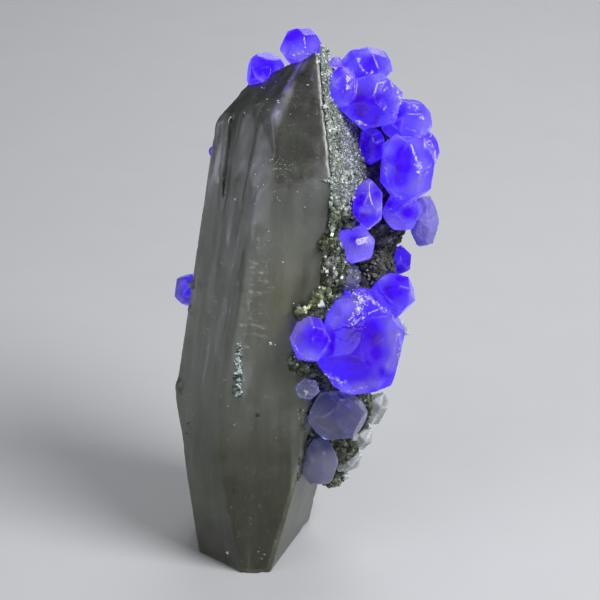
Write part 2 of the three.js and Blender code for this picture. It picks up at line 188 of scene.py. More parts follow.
def skin(rough, fine, lo, hi, h, below, above, rounds=2, slope=None, block=5):
    """Mesh of the fine field. Its surface lies where the rough field is between -below and above."""
    h = h * FINE
    lo = np.array(lo, float) - 2.5 * h
    nb = [int(math.ceil((hi[k] + 2.5 * h - lo[k]) / h / block)) + 1 for k in range(3)]
    reach = 0.87 * block * h + max(below, above)
    start = np.stack(np.meshgrid(*[np.arange(n) for n in nb], indexing="ij"), -1).reshape(-1, 3) * block
    f = chunked(rough, lo + (start + 0.5 * (block - 1)) * h)
    F = np.where(f < 0, -1.0, 1.0).astype(np.float32).reshape(nb)
    F = F.repeat(block, 0).repeat(block, 1).repeat(block, 2)
    near = start[np.abs(f) < reach]
    offset = np.stack(np.meshgrid(*[np.arange(block)] * 3, indexing="ij"), -1).reshape(-1, 3)
    for i in range(0, len(near), 900):
        at = (near[i:i + 900, None] + offset).reshape(-1, 3)
        p = lo + at * h
        f = rough(p)
        m = (f > -below) & (f < above)
        if m.any():
            f[m] = fine(p[m])
        F[at[:, 0], at[:, 1], at[:, 2]] = f
    F[F == 0] = 1e-6
    v, quads = nets(F, lo, h)
    return settle(v, fine, h, rounds, slope), quads


def drop_crumbs(verts, quads, keep=200):
    """Leaves out loose bits with fewer than that many quads."""
    parent = np.arange(len(verts))
    e = np.concatenate([quads[:, [0, 1]], quads[:, [1, 2]], quads[:, [2, 3]]])
    while len(e):
        a, b = parent[e[:, 0]], parent[e[:, 1]]
        m = a != b
        e = e[m]
        parent[np.maximum(a[m], b[m])] = np.minimum(a[m], b[m])
        while True:
            up = parent[parent]
            if (up == parent).all():
                break
            parent = up
    root = parent[quads[:, 0]]
    names, counts = np.unique(root, return_counts=True)
    good = np.isin(root, names[counts >= keep])
    quads = quads[good]
    used = np.unique(quads)
    where = np.zeros(len(verts), np.int64)
    where[used] = np.arange(len(used))
    return verts[used], where[quads]


def object_of(name, verts, faces, smooth=True, values=None, colours=None):
    """A mesh object from millimetre points. values and colours are kept on the points."""
    faces = np.asarray(faces)
    m = bpy.data.meshes.new(name)
    m.vertices.add(len(verts))
    m.vertices.foreach_set("co", (np.asarray(verts, np.float64) * 0.001).astype(np.float32).ravel())
    k = faces.shape[1]
    m.loops.add(len(faces) * k)
    m.loops.foreach_set("vertex_index", faces.astype(np.int32).ravel())
    m.polygons.add(len(faces))
    m.polygons.foreach_set("loop_start", (np.arange(len(faces)) * k).astype(np.int32))
    m.polygons.foreach_set("use_smooth", np.full(len(faces), smooth))
    m.update(calc_edges=True)
    m.validate()
    for key, val in (values or {}).items():
        a = m.attributes.new(key, "FLOAT", "POINT")
        a.data.foreach_set("value", np.asarray(val, np.float32))
    for key, val in (colours or {}).items():
        a = m.attributes.new(key, "FLOAT_COLOR", "POINT")
        a.data.foreach_set("color", np.column_stack([val, np.ones(len(val))]).astype(np.float32).ravel())
    o = bpy.data.objects.new(name, m)
    bpy.context.scene.collection.objects.link(o)
    return o


def place(obj, slot, *nodes):
    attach(obj, "root")
    if nodes:
        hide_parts(*nodes)
    return obj


# ------------------------------------------------------------------ face planes

HEART = (5.0, 3.0, 45.0)


def face(a, b, c, inside=HEART):
    a, b, c, inside = (np.array(t, float) for t in (a, b, c, inside))
    n = np.cross(b - a, c - a)
    n /= np.linalg.norm(n)
    d = n @ a
    return np.append(-n, -d) if n @ inside > d else np.append(n, d)


def slack(p, planes):
    """How far each point is outside each plane."""
    return p @ planes[:, :3].T - planes[:, 3]


def rounded(v, k):
    """The largest of each row, with rounded corners."""
    m = v.max(1)
    return m + np.log(np.exp(k * (v - m[:, None])).sum(1)) / k


def corners_of(planes):
    t = np.array(list(itertools.combinations(range(len(planes)), 3)))
    A = planes[t][:, :, :3]
    ok = np.abs(np.linalg.det(A)) > 1e-6
    p = np.linalg.solve(A[ok], planes[t[ok]][:, :, 3][..., None])[..., 0]
    return p[(slack(p, planes) < 1e-7).all(1)]


# ------------------------------------------------------------------ the camera's sight lines

TILT = math.radians(25)
CAMERA = np.array([10.6, -340 * math.cos(TILT), 49.9 + 340 * math.sin(TILT)])
FOCAL = 1929.0                        # in pixels of a picture that is 600 wide
SIGHT = np.arange(285.0, 400.0, 0.05)


def seen_at(field, pixels):
    """Where the sight lines through these pixels first meet the surface of a field."""
    out = []
    for u, v in pixels:
        x, y = (u - 300) / FOCAL, (300 - v) / FOCAL
        d = np.array([x, math.cos(TILT) + y * math.sin(TILT), -math.sin(TILT) + y * math.cos(TILT)])
        p = CAMERA + SIGHT[:, None] * d / np.linalg.norm(d)
        f = field(p)
        out.append(p[np.argmax(f < 0) if (f < 0).any() else np.argmin(f)])
    return np.array(out)


def near_line(p, points, width):
    """1 on a line through the points, falling to 0 at the width."""
    best = np.full(len(p), 9e9)
    pts = np.array(points, float)
    for a, b in zip(pts[:-1], pts[1:]):
        t = np.clip(((p - a) @ (b - a)) / ((b - a) @ (b - a)), 0, 1)
        best = np.minimum(best, np.linalg.norm(p - a - t[:, None] * (b - a), axis=1))
    return 1 - ramp(best, 0.25 * width, width)


def near_spot(p, point, radius):
    return np.exp(-(((p - point) / radius) ** 2).sum(1))


# ------------------------------------------------------------------ the big quartz crystal

TIP = (13.6, 3.0, 94.8)
FRONT_EDGE_TOP_L = (4.3, -10.5, 74.9)
FRONT_EDGE_TOP_R = (15.8, -9.5, 75.4)
RIGHT_EDGE_LOW = (10.4, -10.5, 20.5)
LEFT_FRONT_MID = (-2.0, -11.0, 40.0)
LEFT_WAIST = (-12.0, 3.0, 29.4)
LEFT_UPPER = (-6.8, 4.0, 62.9)
RIGHT_SHOULDER = (21.8, 3.0, 72.3)
ROOF_LEFT = (3.5, 6.5, 88.0)
ROOF_FRONT = (5.4, -1.0, 86.5)
ROOF_BACK = (1.8, 8.2, 87.3)
ROOF_SHOULDER = (-3.0, 5.8, 82.45)
BACK_LEFT_MID = (-5.0, 18.5, 45.0)
BACK_RIGHT_MID = (12.6, 18.0, 45.0)
RIGHT_MID = (19.1, 3.0, 45.0)
BASE_LEFT = (-8.1, -3.9, 0)
BASE_FRONT_L = (-3.2, -8.0, 0)
BASE_FRONT_R = (5.1, -10.7, 0)
BASE_RIGHT = (14.6, 13.4, 0)
BASE_BACK_R = (10.0, 16.6, 0)
BASE_BACK_L = (-5.5, 15.2, 0)
BASE_BACK_CORNER = (-9.0, 6.0, 0)

front_prism = face(FRONT_EDGE_TOP_R, RIGHT_EDGE_LOW, LEFT_FRONT_MID)
left_prism = face(LEFT_FRONT_MID, LEFT_WAIST, LEFT_UPPER)
right_prism = face(FRONT_EDGE_TOP_R, RIGHT_EDGE_LOW, RIGHT_SHOULDER)
front_end = face(FRONT_EDGE_TOP_L, FRONT_EDGE_TOP_R, TIP)
right_end = face(TIP, FRONT_EDGE_TOP_R, RIGHT_SHOULDER)
roof = face(TIP, ROOF_LEFT, ROOF_FRONT)
back_left_prism = face(LEFT_WAIST, LEFT_UPPER, BACK_LEFT_MID)
back_prism = face(BACK_LEFT_MID, BACK_RIGHT_MID, (3.0, 17.0, 75.0))
back_right_prism = face(BACK_RIGHT_MID, RIGHT_MID, RIGHT_SHOULDER)
back_right_end = face(TIP, RIGHT_SHOULDER, (16.0, 16.0, 73.0))
back_end = face(TIP, ROOF_BACK, (8.0, 16.0, 77.0))
back_left_end = face(ROOF_BACK, ROOF_SHOULDER, (0.5, 14.0, 76.5))
groove_floor = face((-0.7, 4.5, 80.9), (3.2, 0.0, 82.6), (-3.4, -3.5, 58.0))
groove_floor[3] += 0.8                # partly filled by later growth
base = np.array([0, 0, -1.0, 0])
ridge_floor = np.array([-0.13, 0, -1.0, 0])
ridge_floor /= np.linalg.norm(ridge_floor)
ridge_floor[3] = -46
side_x = lambda d: np.array([1.0, 0, 0, d])
side_y = lambda d: np.array([0, 1.0, 0, d])

low_right = face(BASE_FRONT_R, BASE_RIGHT, RIGHT_EDGE_LOW)

# Each face with how frosty it is: 0 is clear and dark, 1 is white.
BODY = [
    (front_prism, 0.38), (left_prism, 0.37), (right_prism, 0.34), (back_left_prism, 0.42), (back_prism, 0.42),
    (back_right_prism, 0.38), (front_end, 0.06), (right_end, 0.36), (roof, 0.13), (back_end, 0.22),
    (back_right_end, 0.34), (back_left_end, 0.30), (groove_floor, 0.32), (base, 0.1),
    (face(RIGHT_EDGE_LOW, BASE_FRONT_R, (-4.2, -11.0, 26.0)), 0.30),
    (face(BASE_LEFT, BASE_FRONT_L, (-4.2, -11.0, 26.0)), 0.30),
    (face(BASE_LEFT, BASE_BACK_CORNER, LEFT_WAIST), 0.38),
    (face(BASE_BACK_CORNER, BASE_BACK_L, (-11.6, 6.2, 29.0)), 0.38),
    (face(BASE_BACK_L, BASE_BACK_R, (-2.0, 19.0, 30.0)), 0.36),
    (face(BASE_BACK_R, BASE_RIGHT, (18.6, 15.6, 30.0)), 0.36),
    (low_right, 0.16),
]
RIDGE3 = [
    (face((7.93, -3.37, 85.53), (4.96, -11.0, 74.06), (1.8, -7.5, 75.4)), 0.42),
    (face((3.2, 0.0, 82.6), (1.3, -4.0, 73.1), (1.8, -7.5, 75.4)), 0.20),
    (front_prism, 0.44), (front_end, 0.10), (roof, 0.16), (right_end, 0.36), (back_end, 0.22), (ridge_floor, 0.4),
    (left_prism, 0.42), (side_x(12), 0.4), (side_y(4), 0.4),
]
RIDGE2 = [
    (face((1.45, 1.32, 84.23), (5.4, -1.05, 86.48), (-0.9, -3.2, 72.8)), 0.44),
    (face((0.9, 0.9, 83.5), (-1.1, -2.5, 72.5), (-1.2, 2.6, 76.0)), 0.30),
    (front_prism, 0.44), (front_end, 0.22), (roof, 0.10), (back_end, 0.22), (ridge_floor, 0.4),
    (left_prism, 0.42), (side_x(9), 0.4), (side_y(8), 0.4),
]
RIDGE1 = [
    (face((-1.67, 2.77, 82.27), (-2.98, 5.83, 82.45), (-5.7, 4.0, 69.9)), 0.64),
    (face((-1.7, 2.8, 82.3), (-2.3, 0.5, 72.4), (-0.7, 4.5, 80.9), (-2.5, 6.0, 76.0)), 0.24),
    (roof, 0.08), (back_end, 0.22), (back_left_end, 0.3), (back_left_prism, 0.42), (left_prism, 0.42),
    (front_prism, 0.44), (ridge_floor, 0.4), (side_x(8), 0.4), (side_y(13), 0.4),
]
strip_out = np.array([0.2, -1.0, 0.1]) / np.linalg.norm([0.2, -1.0, 0.1])
STRIP = [
    (np.append(strip_out, strip_out @ np.array([0.5, 5.0, 84.0])), 0.08),
    (roof, 0.06), (back_end, 0.22), (back_left_end, 0.3), (back_left_prism, 0.42), (left_prism, 0.42),
    (ridge_floor, 0.4), (side_x(8), 0.4), (side_y(14), 0.4),
]
QUARTZ = [np.array([p for p, _ in s]) for s in (BODY, RIDGE3, RIDGE2, RIDGE1, STRIP)]
FROST = [np.array([f for _, f in s]) for s in (BODY, RIDGE3, RIDGE2, RIDGE1, STRIP)]
AXIS = np.array(TIP) - np.array([1.0, 3.0, 0.0])
AXIS /= np.linalg.norm(AXIS)


def quartz_rough(p):
    return np.minimum.reduce([slack(p, s).max(1) for s in QUARTZ])


on_quartz = lambda *pixels: seen_at(quartz_rough, pixels)


def along_squeezed(p, by):
    """Points squeezed along the crystal, for streaks that run up it."""
    return p - np.outer(p @ AXIS, AXIS) * (1 - 1 / by)


# Short ledges across the front face.
LEDGES = [on_quartz((244, 292), (254, 292), (264, 294)), on_quartz((241, 325), (252, 324), (267, 329)), on_quartz((245, 346), (258, 347)),
          on_quartz((252, 272), (266, 272)), on_quartz((262, 396), (272, 398)), on_quartz((245, 334), (256, 334), (268, 337)), on_quartz((246, 262), (262, 263)),
          on_quartz((258, 280), (268, 281)), on_quartz((240, 318), (250, 318))]


def quartz_relief(p):
    z = p @ AXIS
    prism = ramp(z, 6, 20) * (1 - ramp(z, 70, 80))
    left = np.maximum(ramp(-p[:, 0] - 0.35 * p[:, 1], -3.0, 3.0), ramp(p[:, 1], 6, 12))
    r = 0.11 * noise(p, 15, 1) + 0.035 * noise(p, 4.5, 2) + 0.010 * noise(p, 1.3, 3)
    flute = noise(along_squeezed(p, 14), 1.9, 4)
    r += (0.018 + 0.060 * left) * flute * (0.35 + 0.65 * prism)
    lamella = noise(along_squeezed(p, 18), 2.4, 9)
    r += (0.016 + 0.05 * left) * np.floor(4 * lamella) / 4
    wave = z / 0.85 + 0.9 * noise(p, 5, 6) + 0.25 * noise(p, 1.2, 7)
    saw = wave - np.floor(wave)
    r += 0.016 * (saw - 0.5) * prism * ramp(noise(p, 7, 8), 0.05, 0.5)
    d1, _, tag = cells(p, 2.1, 11)
    r += 0.05 * np.where(tag < 0.06, np.clip(1 - (d1 / 0.36) ** 2, 0, 1), 0)
    for line in LEDGES:
        r -= 0.03 * near_line(p, line, 0.3)
    return r


BITES = [((4.2, -11.9, -0.5), 1.7), ((0.6, -11.4, -0.7), 1.3), ((-4.6, -8.6, -0.4), 1.1), ((11.0, -5.0, -0.5), 1.2)]
BUMPS = [((-11.2, 2.3, 31.3), (0.8, 1.1, 1.5)), ((-8.9, 2.5, 46.6), (0.5, 0.8, 0.7)), ((-8.6, 2.6, 51.6), (0.5, 0.8, 0.7))]


def quartz_marks(f, p):
    for c, radii in BUMPS:
        e = (np.sqrt((((p - np.array(c)) / np.array(radii)) ** 2).sum(1)) - 1) * min(radii)
        k = 4.0
        f = -np.log(np.exp(np.clip(-k * f, -60, 60)) + np.exp(np.clip(-k * e, -60, 60))) / k
    for c, rad in BITES:
        f = np.maximum(f, rad - np.sqrt(((p - np.array(c)) ** 2).sum(1)))
    return np.maximum(f, -p[:, 2])


def quartz_shape(p):
    return quartz_marks(quartz_rough(p), p)


def quartz_fine(p):
    r = quartz_relief(p)
    chips = 0.26 * np.clip(noise(p, 1.7, 21) - 0.34, 0, 1)
    parts = []
    for s in QUARTZ:
        v = slack(p, s)
        two = np.partition(v, -2, axis=1)
        edge = np.exp(np.clip((two[:, -2] - two[:, -1]) / 0.5, -20, 0))
        parts.append(rounded(v, 9.0) + r + chips * edge)
    return quartz_marks(np.minimum.reduce(parts), p)


# Some darker streaks are painted shade in the grooves and beside the crust; the narrow paler ones are painted
# highlights on the ridge crests.
STREAKS = [  # pixels, width, paler or darker
    (((232, 100), (230, 130), (227, 155), (225, 178)), 1.7, -0.12), (((221, 118), (219, 150), (217, 178)), 1.4, 0.36),
    (((247, 112), (242, 128), (236, 148), (231, 200), (226, 240)), 1.3, 0.16), (((261, 124), (254, 150), (248, 174), (243, 214)), 1.3, -0.16),
    (((273, 122), (264, 155), (257, 184), (250, 214), (244, 240)), 1.8, 0.06), (((274, 121), (283, 100), (294, 77), (306, 57)), 1.6, 0.46),
    (((241, 116), (247, 107), (262, 104)), 0.45, 0.30), (((213, 113), (222, 109), (229, 116)), 0.45, 0.24), (((266, 122), (272, 116), (281, 110)), 0.4, 0.22),
    (((262, 126), (255, 152), (249, 180)), 0.4, 0.20), (((240, 118), (235, 146), (230, 185)), 0.4, 0.20), (((229, 118), (227, 150), (224, 180)), 0.4, 0.18),
    (((258, 108), (272, 90), (288, 70)), 1.2, 0.08), (((258, 230), (249, 250), (242, 268), (241, 286)), 1.7, -0.30),
    (((313, 262), (306, 288), (298, 306)), 2.6, -0.22), (((222, 160), (219, 200), (214, 240)), 1.0, -0.10),
    (((232, 250), (229, 272), (224, 300)), 1.5, 0.12), (((208, 250), (203, 290), (198, 330)), 1.2, -0.08),
    (((214, 300), (209, 350), (203, 400)), 1.3, 0.10), (((231, 300), (226, 350), (222, 390)), 1.1, -0.07),
    (((196, 330), (190, 380), (186, 420)), 1.0, 0.10), (((238, 344), (239, 370), (240, 394)), 1.5, 0.22),
    (((190, 420), (194, 480), (199, 540)), 0.9, 0.10), (((280, 180), (287, 176), (296, 184)), 2.2, -0.10),
    (((268, 556), (262, 540), (268, 520)), 1.2, -0.08), (((250, 548), (256, 534)), 1.4, -0.08), (((322, 80), (329, 130), (331, 180)), 1.0, 0.12),
]


def quartz_looks(p):
    """Frost, violet tint, olive warmth and painted shade at the foot of each point of the quartz."""
    parts = [slack(p, s) for s in QUARTZ]
    best = np.argmin(np.stack([v.max(1) for v in parts], 1), 1)
    frost = np.zeros(len(p))
    for i, v in enumerate(parts):
        m = best == i
        w = np.exp(3.0 * (v[m] - v[m].max(1, keepdims=True)))
        frost[m] = (w * FROST[i]).sum(1) / w.sum(1)
    front = ramp(-slack(p, front_prism[None])[:, 0], 1.5, 0.4)
    # The front end face clears towards its left, and clouds along its foot and its right edge.
    end = ramp(p[:, 2], 73, 76) * ramp(-p[:, 1], -3.5, -2.0)
    frost += 0.10 * end * ramp(p[:, 0], 9.5, 14.5) + 0.14 * end * (1 - ramp(p[:, 2], 75, 80))
    for pixel, radius, amount in (((294, 128), 3.6, -0.08), ((288, 150), 3.0, -0.06), ((262, 205), 4.0, 0.02),
                                  ((300, 215), 6.0, 0.0), ((292, 272), 2.6, 0.12), ((226, 258), 1.8, 0.16), ((230, 240), 1.2, 0.12),
                                  ((205, 330), 1.6, 0.10), ((216, 350), 2.2, 0.08), ((192, 400), 2.6, 0.08)):
        frost += amount * near_spot(p, on_quartz(pixel)[0], radius)
    # Darker and paler streaks along the crystal: partly its own frost, partly painted shade in the grooves and beside
    # the crust and painted highlights on the ridge crests. The pale ledges across the front carry painted highlights.
    ragged = 0.65 + 0.6 * noise(along_squeezed(p, 4), 0.9, 37)
    for pixels, width, amount in STREAKS:
        frost += amount * ragged * near_line(p, on_quartz(*pixels), width)
    for line in LEDGES:
        frost += 0.50 * near_line(p, line, 0.34) * ramp(noise(p, 0.7, 41), -0.25, 0.5)
    # Smears up the left face.
    left = ramp(-p[:, 0] - 0.35 * p[:, 1], -3.0, 3.0)
    back = ramp(p[:, 1], 6, 12)
    left = np.maximum(left, back)
    upper = 0.2 + 0.8 * ramp(p[:, 2], 24, 44)
    frost += 0.14 * back * ramp(noise(p, 9, 45), -0.2, 0.5)
    frost += upper * 0.20 * left * ramp(noise(along_squeezed(p, 7), 1.3, 33), 0.2, 0.7)
    frost += upper * (0.03 + 0.06 * left) * noise(along_squeezed(p, 12), 0.7, 38)
    # Slanting striae on the lower right face.
    a, b = on_quartz((318, 500), (285, 555))
    slant = (b - a) / np.linalg.norm(b - a)
    low = 1 - ramp(np.abs(slack(p, low_right[None])[:, 0]), 0.3, 0.8)
    frost += low * 0.22 * noise(p - np.outer(p @ slant, slant) * 0.94, 1.0, 39)
    # The lower part is clearer and darker.
    frost -= 0.33 * (1 - ramp(p[:, 2], 10, 42)) * (p[:, 0] < 9)
    frost += (1 - ramp(p[:, 2], 6, 18)) * (0.16 * noise(p, 3.2, 42) + 0.05 * noise(p, 1.6, 43))
    frost += upper * 0.05 * noise(along_squeezed(p, 10), 2.6, 31) + 0.06 * noise(p, 7, 32)
    frost += 0.10 * ramp(p[:, 2], 64, 74) * noise(along_squeezed(p, 9), 0.9, 34)
    violet = np.maximum(near_line(p, on_quartz((303, 58), (292, 79), (284, 92)), 0.6), 0.7 * near_line(p, on_quartz((314, 66), (311, 80)), 0.35))
    violet = np.maximum(violet, 0.35 * near_line(p, on_quartz((284, 92), (272, 118)), 0.8))
    warm = 0.9 * near_spot(p, on_quartz((290, 300))[0], np.array([7.0, 8.0, 15.0])) + 0.5 * (1 - ramp(p[:, 2], 14, 40)) * front
    violet *= 0.35 + 0.65 * ramp(noise(p, 1.3, 35), -0.4, 0.5)
    cool = near_line(p, on_quartz((306, 57), (283, 100), (272, 124), (262, 160), (252, 205)), 2.6)
    cool = np.maximum(cool, near_line(p, on_quartz((221, 116), (219, 150), (217, 178)), 1.6))
    violet = np.maximum(violet, 0.04 * ramp(p[:, 2], 50, 66) + 0.035 * cool)
    # Painted shade: dark at the foot and over most of the lower right facet.
    foot_shade = 1 - ramp(p[:, 2] + 0.25 * noise(p, 1.5, 40), 0.1, 0.8)
    foot_shade = np.maximum(foot_shade, 0.78 * low)
    # Where fine lines run across the faces.
    cross = np.maximum(0.16, front * near_spot(p, on_quartz((256, 300))[0], np.array([5.0, 5.0, 12.0])))
    cross = np.maximum(cross, 0.7 * back * ramp(noise(p, 6, 46), 0.0, 0.4))
    return np.clip(frost, 0.08, 1), violet, np.clip(warm + 0.4 * (1 - ramp(frost, 0.02, 0.26)), 0, 1), foot_shade, cross * (1 - low), 0.2 + 0.8 * left * ramp(noise(along_squeezed(p, 3), 4.5, 44), -0.3, 0.5)


q_lo, q_hi = (np.array(c) * 1000 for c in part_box("quartz_crystal"))
qv, qf = skin(quartz_shape, quartz_fine, q_lo - 0.6, q_hi + 0.6, 0.42, 0.9, 0.4, 3, quartz_shape)
qv[:, 2] = np.maximum(qv[:, 2], 0)
q_frost, q_violet, q_warm, q_foot_shade, q_cross, q_spots = quartz_looks(qv)
quartz = object_of("quartz", qv, qf, values={"frost": q_frost, "violet": q_violet, "warm": q_warm, "foot_shade": q_foot_shade, "cross": q_cross, "spots": q_spots})
place(quartz, "smoky_quartz", "quartz_crystal")

# ------------------------------------------------------------------ fluorites

DODECA, CUBOID, ROUND = (1.2, 1.0, 1.13), (1.0, 1.14, 1.3), (1.05, 1.0, 1.06)
FLUORITES = {
    "fluorite_tip": [((10.8, 6.0, 94.4), (7.2, 6.4, 6.6), (12, 20, 35), ROUND)],
    "fluorite_tip_bit": [((16.6, 3.0, 92.6), (2.2, 2.0, 2.2), (30, 10, 5), ROUND)],
    "fluorite_shoulder": [((4.7, 8.6, 88.8), (6.6, 7.4, 6.4), (10, -32, 12), DODECA)],
    "fluorite_left_edge": [((-9.2, 7.0, 48.6), (5.6, 5.9, 5.6), (20, 8, 40), ROUND)],
    "fluorite_left_speck": [((-4.3, 6.8, 75.2), (2.0, 2.0, 2.0), (5, 40, 15), ROUND)],
    "fluorite_crown_cluster": [
        ((17.9, 1.6, 88.6), (5.7, 7.2, 5.6), (8, 18, 20), ROUND),
        ((21.9, 6.4, 90.8), (9.0, 6.6, 8.0), (25, -10, 15), ROUND),
        ((22.7, 2.4, 85.9), (10.8, 9.8, 9.4), (18, 12, 35), DODECA),
        ((28.8, 4.2, 81.6), (9.0, 8.2, 8.4), (35, 15, 5), ROUND),
        ((28.9, 0.8, 74.7), (9.4, 13.0, 9.0), (5, 6, 42), ROUND),
        ((31.9, 2.6, 76.6), (5.4, 8.0, 7.0), (40, 10, 10), DODECA)],
    "fluorite_recess": [((22.9, 3.4, 77.6), (4.2, 6.9, 5.2), (0, 5, 45), CUBOID)],
    "fluorite_mid_oval": [((22.1, -3.2, 69.3), (5.1, 8.8, 6.0), (4, 3, 44), DODECA)],
    "fluorite_mid_pair": [
        ((28.2, 0.6, 66.6), (6.9, 6.8, 6.4), (28, 12, 20), DODECA),
        ((32.2, 2.6, 63.9), (5.4, 8.8, 6.6), (10, 20, 30), ROUND)],
    "fluorite_mid_square": [((20.2, -4.4, 62.4), (6.6, 6.6, 6.4), (14, 6, 28), CUBOID)],
    "fluorite_grey_mass": [((18.6, -4.0, 56.2), (5.2, 5.0, 5.2), (20, 15, 10), ROUND)],
    "fluorite_back_small": [((28.3, 5.6, 55.1), (4.2, 5.4, 4.6), (15, 5, 40), DODECA)],
    "fluorite_right": [((27.0, 0.0, 51.0), (7.9, 7.8, 7.6), (22, 28, 8), ROUND)],
    "fluorite_big_pair": [
        ((21.0, -7.4, 45.5), (15.9, 18.6, 15.4), (24, 14, 32), DODECA),
        ((12.2, -12.2, 48.2), (6.9, 7.9, 6.4), (10, 25, 18), ROUND)],
    "fluorite_bead": [((11.9, -12.2, 38.6), (4.3, 3.8, 3.8), (20, 30, 10), ROUND)],
    "fluorite_pale": [((17.2, -9.2, 31.9), (10.8, 8.8, 9.0), (16, 10, 20), DODECA)],
    "fluorite_pale_low": [((14.0, -7.6, 21.6), (7.2, 8.6, 7.0), (8, 24, 30), ROUND)],
}
ORDER = [
    "fluorite_big_pair", "fluorite_crown_cluster", "fluorite_mid_oval", "fluorite_mid_square", "fluorite_mid_pair",
    "fluorite_right", "fluorite_pale", "fluorite_tip", "fluorite_shoulder", "fluorite_left_edge", "fluorite_left_speck",
    "fluorite_tip_bit", "fluorite_bead", "fluorite_pale_low", "fluorite_recess", "fluorite_back_small", "fluorite_grey_mass",
]
WORD = 0xFFFFFFFF


def random_from(seed):
    state = [seed & WORD]

    def draw():
        state[0] = (state[0] + 0x6D2B79F5) & WORD
        t = state[0]
        t = ((t ^ (t >> 15)) * (t | 1)) & WORD
        t ^= (t + (((t ^ (t >> 7)) * (t | 61)) & WORD)) & WORD
        return ((t ^ (t >> 14)) & WORD) / 4294967296
    return draw


def seed_of(text):
    h = 2166136261
    for c in text:
        h = ((h ^ ord(c)) * 16777619) & WORD
    return h


def turned(angles):
    x, y, z = (math.radians(t) for t in angles)
    rx = np.array([[1, 0, 0], [0, math.cos(x), -math.sin(x)], [0, math.sin(x), math.cos(x)]])
    ry = np.array([[math.cos(y), 0, math.sin(y)], [0, 1, 0], [-math.sin(y), 0, math.cos(y)]])
    rz = np.array([[math.cos(z), -math.sin(z), 0], [math.sin(z), math.cos(z), 0], [0, 0, 1]])
    return rx @ ry @ rz


SIZE_AXES = np.array([[1, 0, 0], [0, math.sin(TILT), math.cos(TILT)], [0, math.cos(TILT), -math.sin(TILT)]])


def cubic_forms():
    forms = [[], [], []]
    for s in (-1, 1):
        forms[0] += [(s, 0, 0), (0, s, 0), (0, 0, s)]
        for t in (-1, 1):
            forms[1] += [(s, t, 0), (s, 0, t), (0, s, t)]
            for r in (-1, 1):
                forms[2].append((s, t, r))
    return forms


def fluorite_planes(at, size, turn, habit, seed):
    draw = random_from(seed)
    rot = turned(turn)
    planes = []
    for f, dirs in enumerate(cubic_forms()):
        for d in dirs:
            n = rot @ (np.array(d, float) / np.linalg.norm(d))
            planes.append(np.append(n, habit[f] * (1 + (draw() - 0.5) * 0.07)))
    planes = np.array(planes)
    c = corners_of(planes) @ SIZE_AXES.T
    lo, hi = c.min(0), c.max(0)
    scale = np.array(size) / (hi - lo)
    centre = np.array(at) - SIZE_AXES.T @ (scale * (lo + hi) / 2)
    n = (planes[:, :3] @ SIZE_AXES.T / scale) @ SIZE_AXES
    length = np.linalg.norm(n, axis=1)
    n /= length[:, None]
    return np.column_stack([n, planes[:, 3] / length + n @ centre])


CRYSTALS = {name: [fluorite_planes(*c, seed_of(name + str(i))) for i, c in enumerate(cs)] for name, cs in FLUORITES.items()}
BOXES, BOX_OF = {}, {}
for name, sets in CRYSTALS.items():
    BOX_OF[name] = [(c.min(0), c.max(0)) for c in map(corners_of, sets)]
    BOXES[name] = (np.min([b[0] for b in BOX_OF[name]], 0), np.max([b[1] for b in BOX_OF[name]], 0))


def fluorite_rough(name, p):
    """Distance-like value of a fluorite, large away from its box."""
    lo, hi = BOXES[name]
    out = np.full(len(p), 5.0)
    m = ((p > lo - 3) & (p < hi + 3)).all(1)
    if m.any():
        out[m] = np.minimum.reduce([slack(p[m], s).max(1) for s in CRYSTALS[name]])
    return out


def on_fluorite(name, i, *pixels):
    planes = CRYSTALS[name][i]
    return seen_at(lambda p: slack(p, planes).max(1), pixels)
